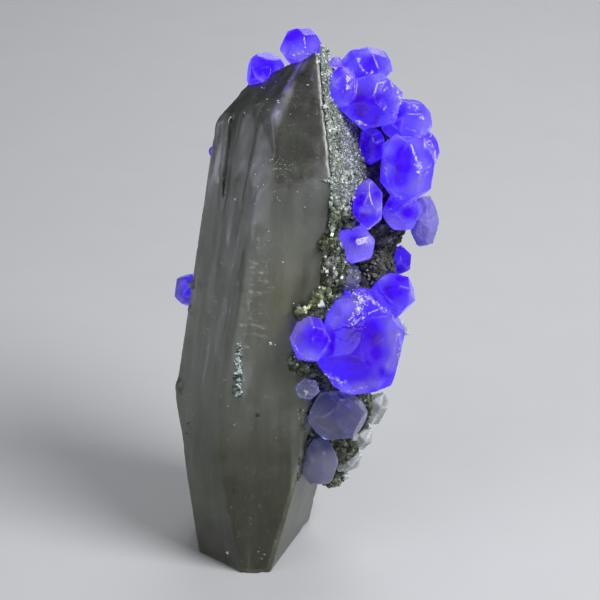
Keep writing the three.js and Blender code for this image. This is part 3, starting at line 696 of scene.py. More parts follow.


# Marks on single crystals: stepped bands that carry painted glints, white lines that are mostly painted highlights, and
# spots of deeper or paler colour, which also set the painted glow.
STEPS = {
    ("fluorite_big_pair", 0): [(((361, 290), (366, 299), (362, 308), (356, 320), (351, 323)), 1.1),
                               (((363, 292), (372, 300), (383, 309), (394, 315)), 0.9), (((327, 375), (336, 380), (344, 383)), 1.2)],
    ("fluorite_crown_cluster", 2): [(((392, 82), (400, 94), (401, 104)), 0.8)],
    ("fluorite_crown_cluster", 3): [(((404, 104), (416, 108), (422, 118)), 0.7)],
    ("fluorite_crown_cluster", 4): [(((418, 165), (422, 176), (430, 168)), 0.9)],
    ("fluorite_crown_cluster", 5): [(((433, 146), (436, 160), (430, 180)), 0.9)],
}
LINES = {
    ("fluorite_big_pair", 0): [(((320, 381), (337, 392), (352, 391), (366, 388)), 0.30), (((404, 322), (408, 338), (404, 356), (397, 368)), 0.35),
                               (((392, 318), (397, 335), (394, 352), (386, 368)), 0.18), (((338, 323), (352, 326), (372, 318), (388, 316)), 0.15),
                               (((352, 372), (368, 352), (384, 338)), 0.12), (((330, 352), (342, 345), (350, 330)), 0.10)],
    ("fluorite_big_pair", 1): [(((291, 340), (298, 352), (312, 360), (320, 356)), 0.28)],
    ("fluorite_crown_cluster", 0): [(((340, 70), (350, 73), (356, 79)), 0.16), (((330, 90), (335, 100), (342, 108)), 0.3)],
    ("fluorite_crown_cluster", 1): [(((358, 58), (359, 65), (363, 71), (368, 75), (373, 72)), 0.26), (((347, 55), (345, 62)), 0.35)],
    ("fluorite_crown_cluster", 2): [(((355, 121), (361, 124), (364, 125)), 0.32), (((368, 126), (377, 126)), 0.22)],
    ("fluorite_crown_cluster", 3): [(((406, 128), (415, 131), (424, 136)), 0.25)],
    ("fluorite_crown_cluster", 4): [(((385, 160), (388, 184), (395, 194), (403, 199)), 0.30), (((384, 145), (383, 158)), 0.3), (((392, 180), (402, 182)), 0.14)],
    ("fluorite_mid_oval", 0): [(((355, 193), (366, 193), (369, 194), (378, 189)), 0.18), (((380, 190), (381, 222)), 0.2), (((353, 221), (362, 228), (371, 228)), 0.2)],
    ("fluorite_mid_pair", 0): [(((383, 213), (401, 202), (416, 207)), 0.16), (((382, 188), (382, 210)), 0.2)],
    ("fluorite_mid_square", 0): [(((372, 226), (373, 242), (369, 257), (354, 261)), 0.22), (((358, 239), (372, 239)), 0.14)],
    ("fluorite_right", 0): [(((400, 276), (412, 285), (415, 305)), 0.2)],
    ("fluorite_pale", 0): [(((310, 421), (322, 428), (336, 437), (354, 427), (366, 408)), 0.16)],
    ("fluorite_bead", 0): [(((303, 391), (308, 392), (305, 396)), 0.30), (((314, 396), (319, 390)), 0.25)],
    ("fluorite_shoulder", 0): [(((262, 68), (268, 67)), 0.25)],
    ("fluorite_tip", 0): [(((283, 52), (292, 55), (302, 52), (314, 56)), 0.55)],
}
SPOTS = {
    ("fluorite_big_pair", 0): [((350, 332), 2.2, 0.5), ((345, 350), 2.4, 0.6), ((340, 364), 2.2, 0.5), ((352, 372), 1.8, 0.4), ((328, 370), 0.9, 0.6),
                               ((340, 302), 2.6, -0.6), ((352, 300), 1.6, -0.5), ((330, 318), 1.4, -0.4), ((396, 338), 1.8, -0.9), ((399, 352), 1.4, -0.9), ((392, 324), 1.4, -0.7),
                               ((390, 366), 1.3, -0.7), ((362, 388), 1.6, -0.8), ((346, 391), 1.3, -0.8), ((376, 384), 1.3, -0.7), ((324, 350), 1.0, -0.4), ((383, 371), 0.9, 0.3),
                               ((372, 330), 1.4, 0.3), ((376, 352), 1.2, 0.3), ((366, 366), 1.2, 0.25)],
    ("fluorite_big_pair", 1): [((318, 336), 1.8, 0.4), ((296, 328), 1.5, -0.7), ((308, 358), 1.3, -0.9), ((292, 340), 1.2, -0.8), ((304, 320), 1.2, -0.5)],
    ("fluorite_crown_cluster", 0): [((343, 88), 2.0, -0.25), ((333, 82), 1.0, -0.6), ((340, 105), 1.0, -0.6), ((350, 72), 1.0, -0.6), ((357, 88), 0.8, -0.5)],
    ("fluorite_crown_cluster", 1): [((374, 63), 1.8, 0.4), ((352, 70), 1.2, -0.4), ((390, 66), 1.0, -0.6), ((346, 58), 1.0, -0.5), ((368, 53), 0.8, -0.4)],
    ("fluorite_crown_cluster", 2): [((376, 108), 2.2, 0.6), ((372, 122), 1.2, 0.4), ((380, 82), 1.6, -0.5), ((399, 94), 1.4, -0.8), ((360, 112), 1.6, 0.6), ((398, 108), 1.0, -0.6), ((358, 100), 1.2, 0.3)],
    ("fluorite_crown_cluster", 3): [((395, 117), 1.2, 0.4), ((426, 126), 1.6, -0.9), ((414, 104), 1.2, -0.6), ((430, 114), 1.2, -0.6)],
    ("fluorite_crown_cluster", 4): [((403, 152), 1.1, 0.55), ((403, 166), 1.1, 0.55), ((402, 180), 1.2, 0.5), ((388, 150), 1.2, -0.7), ((388, 170), 1.2, -0.7), ((418, 186), 1.7, -0.6), ((416, 142), 1.6, -0.5), ((393, 192), 1.2, -0.7), ((423, 165), 1.5, -0.5), ((398, 134), 1.0, -0.5)],
    ("fluorite_crown_cluster", 5): [((428, 150), 1.6, -0.5), ((434, 160), 1.4, -0.5), ((430, 176), 1.2, -0.5)],
    ("fluorite_mid_oval", 0): [((361, 201), 0.8, 0.6), ((361, 218), 0.7, 0.6), ((363, 210), 0.5, -0.6), ((369, 211), 0.5, -0.6), ((367, 184), 1.3, -0.7), ((380, 206), 1.0, -0.8), ((379, 220), 0.9, -0.6), ((366, 228), 0.9, -0.6)],
    ("fluorite_mid_pair", 0): [((407, 213), 0.8, 0.5), ((388, 200), 1.2, 0.3), ((395, 224), 1.3, -0.6), ((412, 224), 1.0, -0.5), ((408, 198), 0.8, -0.4)],
    ("fluorite_mid_square", 0): [((353, 239), 1.0, 0.5), ((345, 226), 0.9, 0.45), ((366, 233), 1.2, -0.6), ((350, 254), 1.4, -0.5), ((368, 250), 1.2, -0.7), ((358, 260), 1.0, -0.6)],
    ("fluorite_right", 0): [((394, 292), 1.8, 0.3), ((399, 279), 0.6, 0.3), ((413, 296), 1.2, -0.7), ((404, 312), 1.2, -0.5), ((384, 278), 1.0, -0.5)],
    ("fluorite_tip", 0): [((291, 37), 1.8, 0.5), ((313, 47), 1.4, -0.6), ((300, 54), 1.4, -0.7), ((284, 50), 1.1, -0.5)],
    ("fluorite_shoulder", 0): [((268, 60), 1.3, 0.5), ((256, 74), 1.0, 0.3), ((278, 70), 0.9, -0.6), ((280, 58), 0.8, -0.5), ((262, 80), 0.7, -0.5)],
    ("fluorite_left_edge", 0): [((184, 290), 1.0, 0.4), ((178, 300), 1.2, -0.5), ((177, 284), 0.9, -0.5)],
    ("fluorite_pale", 0): [((335, 412), 2.2, 0.6), ((345, 408), 1.2, 0.4), ((357, 400), 2.0, -0.7), ((332, 428), 1.6, -0.4), ((318, 420), 1.4, -0.5)],
}
# Colour depth for each crystal, which also sets its painted glow; for the crystals in the recess and at the back it is
# partly painted shade.
DEPTH = {"fluorite_recess": 0.45, "fluorite_back_small": 0.4, "fluorite_left_speck": -0.1, "fluorite_tip_bit": -0.4, "fluorite_mid_square": -0.1,
         "fluorite_right": 0.2, "fluorite_grey_mass": 0.3, "fluorite_tip": 0.2, "fluorite_shoulder": 0.3, "fluorite_big_pair": 0.34, "fluorite_crown_cluster": 0.16,
         "fluorite_mid_oval": 0.25, "fluorite_mid_pair": 0.1, "fluorite_left_edge": 0.1}
# Painted shade: the painted glow is lowered for crystals that sit in shade.
SHADE_DIM = {"fluorite_recess": 0.45, "fluorite_back_small": 0.55, "fluorite_left_edge": 0.6, "fluorite_left_speck": 0.5, "fluorite_tip_bit": 0.3}
marks = {kind: {key: [(on_fluorite(*key, *m[0]), *m[1:]) for m in ms] for key, ms in table.items()} for kind, table in (("steps", STEPS), ("lines", LINES))}
marks["spots"] = {key: [(on_fluorite(*key, m[0])[0], *m[1:]) for m in ms] for key, ms in SPOTS.items()}


def blocky(p, name, i, size, seed):
    """A number for each small cube along the crystal's own axes."""
    return hash01(np.floor((p @ turned(FLUORITES[name][i][2])) / size).astype(np.int64), seed)


def fluorite_relief(name, i, p, seed, edge):
    r = 0.035 * noise(p, 3.2, seed) + 0.010 * noise(p, 0.9, seed + 1)
    r += 0.060 * np.floor(2.6 * noise(p, 2.3, seed + 2)) / 2.6
    if name in ("fluorite_crown_cluster", "fluorite_mid_pair", "fluorite_big_pair"):
        r += 0.10 * edge * (blocky(p, name, i, 0.42, seed + 7) - 0.4) * ramp(noise(p, 4.0, seed + 8), -0.1, 0.4)
    for line, width in marks["steps"].get((name, i), []):
        r += 0.26 * (blocky(p, name, i, 0.5, seed + 9) - 0.2) * near_line(p, line, width)
    if (name, i) == ("fluorite_mid_pair", 1):
        d1, _, tag = cells(p, 0.55, seed + 12)
        r += 0.06 - 0.15 * np.clip(1 - (d1 / 0.38) ** 2, 0, 1) * (0.4 + 0.6 * tag)
    return r


GROWN_GAP = 0.04


def fluorite_fields(name):
    i = ORDER.index(name)
    seed = 100 + 20 * i
    k = 5.5 if name == "fluorite_pale_low" else 24.0 if BOXES[name][1][0] - BOXES[name][0][0] < 5 else 20.0

    def cut(f, p, gap=GROWN_GAP):
        f = np.maximum(f, gap - quartz_rough(p))
        for other in ORDER[:i]:
            f = np.maximum(f, gap - fluorite_rough(other, p))
        return f

    def rough(p):
        return cut(np.minimum.reduce([slack(p, s).max(1) for s in CRYSTALS[name]]), p)

    def fine(p):
        out = np.full(len(p), 9.0)
        for c, (s, (lo, hi)) in enumerate(zip(CRYSTALS[name], BOX_OF[name])):
            m = ((p > lo - 1) & (p < hi + 1)).all(1)
            if m.any():
                v = slack(p[m], s)
                two = np.partition(v, -2, axis=1)
                edge = np.exp(np.clip((two[:, -2] - two[:, -1]) / 0.4, -20, 0))
                out[m] = np.minimum(out[m], rounded(v, k) + fluorite_relief(name, c, p[m], seed, edge))
        return cut(out, p)

    return rough, fine, cut


def fluorite_looks(name, p, seed):
    """White edges with painted highlights, depth of colour that also sets the painted glow, and frosting for each
    point.
    """
    vals = [slack(p, s) for s in CRYSTALS[name]]
    best = np.argmin(np.stack([v.max(1) for v in vals], 1), 1)
    rim = np.zeros(len(p))
    deep = np.full(len(p), 0.5 + DEPTH.get(name, 0.0))
    frosted = np.zeros(len(p))
    for i, v in enumerate(vals):
        m = best == i
        if not m.any():
            continue
        q = p[m]
        two = np.partition(v[m], -2, axis=1)
        size = max(FLUORITES[name][i][1])
        # Pale crystal edges, partly frosting and partly painted highlight; the white lines and stepped bands add
        # painted highlights.
        edge = (0.12 if name in ("fluorite_pale", "fluorite_pale_low") or (name, i) == ("fluorite_big_pair", 0) else 0.75) * np.exp(np.clip((two[:, -2] - two[:, -1]) / 0.10, -20, 0)) * ramp(noise(q, 2.6, seed + 30 + i), -0.35, 0.45)
        for line, width in marks["lines"].get((name, i), []):
            edge = np.maximum(edge, 0.7 * near_line(q, line, width) * (0.5 + 0.6 * noise(q, 0.5, seed + 31)))
        for line, width in marks["steps"].get((name, i), []):
            edge = np.maximum(edge, near_line(q, line, width) * ramp(blocky(q, name, i, 0.5, seed + 9), 0.45, 0.75))
        rim[m] = edge
        w = np.exp(6.0 * (v[m] - v[m].max(1, keepdims=True)))
        tint = (w * (np.array([hash01(np.array([[k, i, 3]]), seed)[0] for k in range(v.shape[1])]) - 0.5)).sum(1) / w.sum(1)
        d = 0.26 * noise(q, 0.42 * size, seed + 40 + i) + 0.10 * noise(q, 0.15 * size, seed + 50 + i) + 0.20 * tint
        for point, radius, amount in marks["spots"].get((name, i), []):
            d += 1.25 * amount * near_spot(q, point, radius)
        deep[m] += d
        if (name, i) == ("fluorite_mid_pair", 1):
            frosted[m] = 1.0
    if name in ("fluorite_pale_low", "fluorite_grey_mass"):
        frosted[:] = 0.5
    # White dust along the seams between grown-together crystals.
    touch = np.minimum.reduce([quartz_rough(p)] + [fluorite_rough(other, p) for other in ORDER if other != name])
    if len(vals) > 1:
        touch = np.minimum(touch, np.sort(np.stack([v.max(1) for v in vals], 1), 1)[:, 1])
    seam = np.exp(-np.clip(touch, 0, 9) / 0.16) * ramp(noise(p, 1.1, seed + 60), -0.45, 0.35)
    rim = np.maximum(rim, (0.25 if name in PALE else 0.6) * seam)
    return np.clip(rim, 0, 1), np.clip(deep, 0, 1), frosted


PALE = {"fluorite_pale", "fluorite_bead", "fluorite_pale_low", "fluorite_grey_mass"}
fluorite_objects = {}
phantoms = {"violet": [], "pale": []}
for name in ORDER:
    rough, fine, cut = fluorite_fields(name)
    lo, hi = BOXES[name]
    small = (hi - lo).max() < 7
    v, quads = skin(rough, fine, lo - 0.3, hi + 0.3, 0.165 if small else 0.20, 0.6, 0.3, 3, rough)
    v, quads = drop_crumbs(v, quads)
    rim, deep, frosted = fluorite_looks(name, v, 100 + 20 * ORDER.index(name))
    o = object_of(name.replace("fluorite_", "fluorite_skin_"), v, quads, values={"rim": rim, "deep": deep, "frosted": frosted, "shade_dim": np.full(len(v), SHADE_DIM.get(name, 0.0))})
    place(o, "pale_fluorite" if name in PALE else "violet_fluorite", name)
    fluorite_objects[name] = o
    # The darker earlier growth stage that shows inside the clear crystals.
    for i, s in enumerate(CRYSTALS[name]):
        if name in ("fluorite_pale_low", "fluorite_grey_mass", "fluorite_bead", "fluorite_tip_bit", "fluorite_left_speck") or (name, i) == ("fluorite_mid_pair", 1):
            continue
        c = corners_of(s)
        mid = c.mean(0)
        inner = np.column_stack([s[:, :3], s[:, :3] @ mid + 0.80 * (s[:, 3] - s[:, :3] @ mid)])
        core = lambda p, inner=inner, cut=cut: cut(rounded(slack(p, inner), 3.0), p, 0.5)
        pv, pq = skin(core, core, mid + 0.80 * (c.min(0) - mid) - 0.2, mid + 0.80 * (c.max(0) - mid) + 0.2, 0.42, 0.5, 0.5, 2)
        if len(pq) > 60:
            phantoms["pale" if name in PALE else "violet"].append(drop_crumbs(pv, pq, 40))

phantom_objects = {}
for kind, meshes in phantoms.items():
    at = np.cumsum([0] + [len(v) for v, _ in meshes])
    o = object_of("fluorite_phantoms_" + kind, np.concatenate([v for v, _ in meshes]), np.concatenate([q + a for (_, q), a in zip(meshes, at)]))
    place(o, kind + "_fluorite")
    phantom_objects[kind] = o

# ------------------------------------------------------------------ small quartz crystals

SMALL_QUARTZ = {
    "quartz_small_right": ((25.6, 3.0, 44.2), (30.6, 1.6, 42.2), 4.0),
    "quartz_small_upper": ((23.6, 4.2, 24.4), (26.2, 3.4, 30.2), 3.4),
    "quartz_small_mid": ((21.4, 4.6, 19.0), (24.2, 3.4, 22.4), 3.4),
    "quartz_small_bead": ((19.8, 1.6, 21.2), (21.4, 0.6, 22.6), 1.7),
    "quartz_small_low": ((18.4, 4.2, 14.6), (22.4, 2.6, 17.4), 3.8),
    "quartz_small_tiny": ((17.6, 5.0, 11.6), (20.2, 3.6, 11.8), 1.7),
}


def small_planes(foot, tip, width, seed):
    draw = random_from(seed)
    foot, tip = np.array(foot), np.array(tip)
    axis = tip - foot
    length = np.linalg.norm(axis)
    axis /= length
    side = np.cross((0.3, 1, 0.2), axis)
    side /= np.linalg.norm(side)
    other = np.cross(axis, side)
    planes = [np.append(-axis, -axis @ foot + 0.6)]
    for i in range(6):
        a = (i + 0.3) * math.pi / 3
        out = side * math.cos(a) + other * math.sin(a)
        planes.append(np.append(out, out @ foot + width / 2 * (0.9 + 0.16 * draw())))
        end = 0.79 * out + 0.61 * axis
        end /= np.linalg.norm(end)
        planes.append(np.append(end, end @ tip - 0.05 * length * draw()))
    return np.array(planes)


SMALL = {n: small_planes(*c, seed_of(n)) for n, c in SMALL_QUARTZ.items()}
small_objects = []
for k, (name, planes) in enumerate(SMALL.items()):
    earlier = [SMALL[n] for n in list(SMALL)[:k]]

    def small_cut(f, p, earlier=earlier):
        f = np.maximum(f, GROWN_GAP - quartz_rough(p))
        for other in ORDER:
            f = np.maximum(f, GROWN_GAP - fluorite_rough(other, p))
        for s in earlier:
            f = np.maximum(f, GROWN_GAP - slack(p, s).max(1))
        return f

    def small_rough(p, planes=planes, cut=small_cut):
        return cut(slack(p, planes).max(1), p)

    def small_fine(p, planes=planes, cut=small_cut, k=k):
        r = 0.03 * noise(p, 1.3, 300 + k) + 0.03 * np.floor(2 * noise(p, 0.9, 320 + k)) / 2
        return cut(rounded(slack(p, planes), 14.0) + r, p)

    c = corners_of(planes)
    v, quads = skin(small_rough, small_fine, c.min(0) - 0.3, c.max(0) + 0.3, 0.18, 0.5, 0.3, 2, small_rough)
    v, quads = drop_crumbs(v, quads)
    two = np.partition(slack(v, planes), -2, axis=1)
    rim = np.exp(np.clip((two[:, -2] - two[:, -1]) / 0.14, -20, 0))
    o = object_of(name.replace("quartz_small_", "white_quartz_"), v, quads, values={"rim": rim})
    place(o, "white_quartz", name)
    small_objects.append(o)

# ------------------------------------------------------------------ crust

LUMPS = [
    ((17.0, -7.6, 75.6), (1.8, 2.0, 2.6)), ((16.4, -8.2, 71.2), (1.5, 1.8, 3.0)), ((15.8, -8.8, 67.8), (1.3, 1.5, 2.0)),
    ((15.0, -9.0, 64.3), (1.8, 1.7, 2.0)), ((15.5, -9.0, 61.2), (1.5, 1.5, 1.6)), ((15.0, -9.2, 58.5), (1.4, 1.4, 1.7)),
    ((14.0, -9.6, 55.3), (1.6, 1.5, 1.9)), ((12.6, -10.0, 52.6), (1.7, 1.5, 1.5)), ((10.7, -10.5, 52.5), (1.6, 1.4, 1.3)),
    ((10.4, -10.6, 42.8), (1.9, 1.6, 2.2)), ((20.0, 4.5, 84.8), (3.0, 3.6, 4.2)), ((22.0, 7.6, 79.5), (4.0, 3.8, 6.0)),
    ((23.5, 6.5, 71.0), (4.4, 4.6, 6.2)), ((18.8, -1.6, 67.5), (2.4, 3.4, 5.6)), ((24.2, 6.2, 62.5), (4.8, 4.8, 6.2)),
    ((16.6, -4.6, 58.5), (2.6, 3.4, 6.0)), ((23.6, 5.6, 54.0), (4.6, 4.8, 5.8)), ((15.0, -6.2, 51.5), (2.4, 2.8, 4.0)),
    ((22.5, 2.5, 46.0), (5.0, 5.4, 6.6)), ((14.2, -8.0, 42.0), (2.6, 2.6, 4.2)), ((20.6, 2.2, 36.5), (4.4, 4.8, 6.6)),
    ((19.8, 3.0, 27.5), (3.8, 4.6, 6.0)), ((17.8, 4.0, 19.8), (3.4, 4.4, 5.2)), ((16.6, 6.2, 13.0), (2.6, 4.0, 4.2)),
    ((21.0, 9.0, 74.0), (3.2, 4.2, 6.6)), ((20.0, 9.6, 62.0), (3.2, 4.4, 7.0)), ((19.0, 9.6, 49.0), (3.2, 4.2, 7.0)),
    ((18.0, 9.6, 36.0), (3.0, 4.2, 6.6)), ((16.8, 10.0, 24.0), (2.8, 4.0, 6.0)),
]
bevel = 0.8 * right_end[:3] + 0.6 * front_end[:3]
bevel /= np.linalg.norm(bevel)
COAT = np.array([
    np.append(right_end[:3], right_end[3] + 1.2), np.append(-right_end[:3], -right_end[3] + 1.0),
    np.append(bevel, bevel @ np.array(TIP) + 0.45), np.append(front_prism[:3], front_prism[3] + 0.15),
    np.append(back_right_end[:3], back_right_end[3] + 1.5), np.append(right_prism[:3], right_prism[3] + 1.5),
    np.append(roof[:3], roof[3] - 0.9), np.array([0, 0, -1.0, -71.0]),
])


def lumps_value(p):
    f = slack(p, COAT).max(1)
    for c, r in LUMPS:
        r = np.array(r)
        e = (np.sqrt((((p - np.array(c)) / r) ** 2).sum(1)) - 1) * r.min()
        d = np.clip(0.5 + 0.5 * (f - e) / 0.9, 0, 1)
        f = f * (1 - d) + e * d - 0.9 * d * (1 - d)
    return f


def crust_cut(f, p):
    m = f < 1.0
    if m.any():
        q = p[m]
        g = np.maximum(f[m], 0.05 - quartz_rough(q))
        for name in ORDER:
            g = np.maximum(g, 0.05 - fluorite_rough(name, q))
        for s in SMALL.values():
            g = np.maximum(g, 0.05 - slack(q, s).max(1))
        f = f.copy()
        f[m] = g
    return f


def crust_rough(p):
    return crust_cut(lumps_value(p), p)


def crust_fine(p):
    f = lumps_value(p)
    d1, d2, tag = cells(p, 1.15, 401)
    f = f + 0.28 - 0.55 * np.clip(1 - (d1 / 0.75) ** 2, 0, 1) * (0.35 + 0.65 * tag)
    d1, d2, tag = cells(p, 0.52, 421)
    f = f + 0.06 - 0.20 * np.clip(1 - (d1 / 0.34) ** 2, 0, 1)
    f = f + 0.25 * noise(p, 2.6, 431)
    # It stops at the front edge of the coated face.
    f = np.where(p[:, 2] > 76.5, np.maximum(f, slack(p, front_end[None])[:, 0] - 0.02), f)
    return crust_cut(f, p)


CRUST_NODES = ["matrix_crust", "crust_patch_mid", "crust_patch_under_big", "crust_patch_edge", "crust_patch_low"]
c_lo = np.min([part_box(n)[0] for n in CRUST_NODES], 0) * 1000
c_hi = np.max([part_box(n)[1] for n in CRUST_NODES], 0) * 1000
cv, cf = skin(crust_rough, crust_fine, c_lo - 0.3, c_hi + 0.3, 0.35, 0.9, 0.8, 2)
cv, cf = drop_crumbs(cv, cf, 60)


def crust_tone(p, seed):
    """Colour of the crust at each point, by where it is on the specimen."""
    n1, n2 = noise(p, 2.0, seed), noise(p, 0.7, seed + 1)
    grey = np.array([0.23, 0.26, 0.22])
    green = np.array([0.105, 0.14, 0.045])
    lime = np.array([0.62, 0.70, 0.34])
    dark = np.array([0.035, 0.040, 0.022])
    pale = np.array([0.57, 0.63, 0.64])
    brown = np.array([0.085, 0.075, 0.058])
    out = np.tile(grey, (len(p), 1))
    mix = lambda a, b, t: a * (1 - t[:, None]) + b * t[:, None]
    # Along the front edge of the quartz: green lumps, some bright, with grey ones between.
    front = ramp(-p[:, 1], 4.5, 7.5) * (1 - ramp(p[:, 2], 66, 70))
    out = mix(out, green, np.clip(front * (0.9 + 0.6 * n1), 0, 1))
    for c, radius in (((15.0, -9.0, 65.2), 1.5), ((14.0, -9.8, 56.2), 1.5), ((12.0, -10.6, 53.4), 1.7), ((10.6, -11.2, 43.8), 1.6)):
        out = mix(out, lime, 0.9 * near_spot(p, np.array(c), radius) * ramp(n1, -0.5, 0.3))
    for c, radius in (((15.6, -9.6, 61.4), 1.3), ((15.4, -9.2, 58.6), 1.0)):
        out = mix(out, np.array([0.38, 0.38, 0.46]), 0.9 * near_spot(p, np.array(c), radius))
    # The coated end face: grey-green, white at its foot, then moss.
    coat = ramp(p[:, 2], 68, 71) * (1 - ramp(np.abs(slack(p, right_end[None])[:, 0] - 0.8), 1.2, 2.0)) * (p[:, 1] < 5)
    out = mix(out, np.array([0.30, 0.345, 0.30]), np.clip(coat * (0.8 + 0.4 * n1), 0, 1))
    out = mix(out, np.array([0.33, 0.33, 0.42]), np.clip(coat * ramp(p[:, 0], 17.0, 18.6) * 0.8, 0, 1))
    front_edge = coat * near_line(p, (TIP, FRONT_EDGE_TOP_R), 2.6)
    out = mix(out, np.array([0.46, 0.49, 0.46]), np.clip(front_edge * (0.8 + 0.4 * n1), 0, 1))
    out = mix(out, pale, np.clip(1.1 * near_spot(p, np.array(TIP) + np.array([0.8, 0, 0]), 3.2), 0, 0.85))
    foot = coat * np.exp(-((p[:, 2] - 75.5) / 3.6) ** 2)
    out = mix(out, 0.85 * pale, np.clip(foot * (0.8 + 0.4 * n1), 0, 1))
    moss = np.exp(-((p[:, 2] - 69.0) / 2.2) ** 2) * ramp(-p[:, 1], 3.0, 6.0)
    out = mix(out, green * 0.55, np.clip(moss * (0.7 + 0.5 * n1), 0, 1))
    # Painted shade: the recess between the fluorites is dark brown.
    recess = ramp(p[:, 0], 18.5, 21.5) * ramp(p[:, 1], -5.0, -1.5) * (1 - ramp(p[:, 2], 79, 84)) * ramp(p[:, 2], 46, 52)
    out = mix(out, brown, np.clip(recess * 0.9, 0, 1))
    # Low on the right it is dark green.
    low = (1 - ramp(p[:, 2], 36, 41)) * (1 - ramp(p[:, 1], 7, 10))
    out = mix(out, dark * 1.3, np.clip(low * (0.75 + 0.4 * n1), 0, 1))
    # Painted shade in the hollows, and dark and pale grains.
    hollow = ramp(lumps_value(p) + 0.35 * noise(p, 1.4, seed + 2), -0.45, 0.30)
    out = out * (1 - (0.72 - 0.92 * hollow) * (1 - 0.85 * coat))[:, None]
    out = mix(out, dark, np.clip(ramp(n2, 0.02, 0.5) * 0.9 * (1 - 0.6 * coat), 0, 1))
    out = mix(out, pale, np.clip(ramp(-n2, 0.35, 0.7) * 0.5 * (1 - 0.75 * low) * (1 - 0.8 * recess), 0, 1))
    # Darker along the front strip except at three lime lumps, whose tops get a painted highlight; the coat a little
    # darker.
    lit = np.maximum.reduce([near_spot(p, np.array(c), r) for c, r in (((15.0, -9.0, 65.2), 1.2), ((14.0, -9.8, 56.2), 1.3), ((12.0, -10.6, 53.4), 1.4))])
    out = out * (1 - 0.5 * front * (1 - lit))[:, None] * (1 - 0.24 * coat)[:, None]
    out = out + 0.5 * lime * (lit * ramp(-n2, -0.2, 0.4))[:, None]
    return np.clip(out, 0, 1)


crust = object_of("crust", cv, cf, values={}, colours={"tone": crust_tone(cv, 501)})
place(crust, "crust", *CRUST_NODES)

# ------------------------------------------------------------------ grains on the crust

rng = np.random.default_rng(7)


def ico():
    g = (1 + 5 ** 0.5) / 2
    v = np.array([(-1, g, 0), (1, g, 0), (-1, -g, 0), (1, -g, 0), (0, -1, g), (0, 1, g), (0, -1, -g), (0, 1, -g), (g, 0, -1), (g, 0, 1), (-g, 0, -1), (-g, 0, 1)])
    f = np.array([(0, 11, 5), (0, 5, 1), (0, 1, 7), (0, 7, 10), (0, 10, 11), (1, 5, 9), (5, 11, 4), (11, 10, 2), (10, 7, 6), (7, 1, 8),
                  (3, 9, 4), (3, 4, 2), (3, 2, 6), (3, 6, 8), (3, 8, 9), (4, 9, 5), (2, 4, 11), (6, 2, 10), (8, 6, 7), (9, 8, 1)])
    return v / np.linalg.norm(v[0]), f


def hexa():
    """A short six-sided crystal with a pointed end."""
    a = np.arange(6) * math.pi / 3
    ring = np.column_stack([np.cos(a), np.sin(a)])
    v = np.concatenate([np.column_stack([ring, np.full(6, -0.8)]), np.column_stack([ring, np.full(6, 0.5)]), [(0, 0, 1.5), (0, 0, -0.8)]])
    f = []
    for i in range(6):
        j = (i + 1) % 6
        f += [(i, j, 6 + j), (i, 6 + j, 6 + i), (6 + i, 6 + j, 12), (j, i, 13)]
    return v * 0.8, np.array(f)


def block():
    """A cube with its corners pulled about, as a small cubic crystal."""
    v = np.array(list(itertools.product((-1, 1), repeat=3)), float) * 0.62
    f = np.array([(0, 1, 3), (0, 3, 2), (4, 6, 7), (4, 7, 5), (0, 4, 5), (0, 5, 1), (2, 3, 7), (2, 7, 6), (0, 2, 6), (0, 6, 4), (1, 5, 7), (1, 7, 3)])
    return v, f


def frames(n, up=None, spread=1.0):
    """Random turns. With up, the third axis leans towards it."""
    z = rng.normal(size=(n, 3))
    z /= np.linalg.norm(z, axis=1, keepdims=True)
    if up is not None:
        z = up + spread * z
        z /= np.linalg.norm(z, axis=1, keepdims=True)
    x = np.cross(z, rng.normal(size=(n, 3)))
    x /= np.linalg.norm(x, axis=1, keepdims=True)
    return np.stack([x, np.cross(z, x), z], 1)


def scatter(shape, at, size, turn, stretch, jitter=0.2):
    """Copies of a small shape joined in one mesh."""
    v, f = shape
    n = len(at)
    p = np.tile(v, (n, 1, 1)) * (1 + jitter * (rng.random((n, len(v), 1)) - 0.5) * 2)
    p = p * (np.asarray(size)[:, None, None] * np.asarray(stretch)[:, None, :])
    p = np.einsum("nvk,nkx->nvx", p, turn) + np.asarray(at)[:, None, :]
    faces = (np.arange(n) * len(v))[:, None, None] + f
    return p.reshape(-1, 3), faces.reshape(-1, 3), len(v)


def surface_points(v, quads, n):
    """Points spread evenly over a quad mesh, with the outward direction at each."""
    a, b, c, d = (v[quads[:, k]] for k in range(4))
    normal = np.cross(c - a, d - b)
    area = np.linalg.norm(normal, axis=1)
    i = rng.choice(len(quads), n, p=area / area.sum())
    s, t = rng.random((2, n, 1))
    p = (a[i] * (1 - s) + b[i] * s) * (1 - t) + (d[i] * (1 - s) + c[i] * s) * t
    return p, normal[i] / np.maximum(area[i], 1e-12)[:, None]


def free_of_crystals(p, gap):
    m = quartz_rough(p) > gap
    for name in ORDER:
        m &= fluorite_rough(name, p) > gap
    for s in SMALL.values():
        m &= slack(p, s).max(1) > gap
    return m


gp, gn = surface_points(cv, cf, int(15000 / FINE))
ok = free_of_crystals(gp, 0.16)
gp, gn = gp[ok], gn[ok]
on_coat = (slack(gp, COAT).max(1) > -0.7) & (slack(gp, right_end[None])[:, 0] > 0.3) & (slack(gp, right_end[None])[:, 0] < 2.2) & (gp[:, 2] > 70.5) & (gp[:, 0] < 21.5)
pick = rng.random(len(gp))
parts = {"crust_grains": [], "crust_frosting": []}


def add(part, shape, at, size, turn, stretch, tone, jitter=0.2):
    v, f, k = scatter(shape, at, size, turn, stretch, jitter)
    parts[part].append((v, f, np.repeat(tone, k, 0)))


def joined(part):
    vs, fs, ts, start = [], [], [], 0
    for v, f, t in parts[part]:
        vs.append(v)
        fs.append(f + start)
        ts.append(t)
        start += len(v)
    return np.concatenate(vs), np.concatenate(fs), np.concatenate(ts)


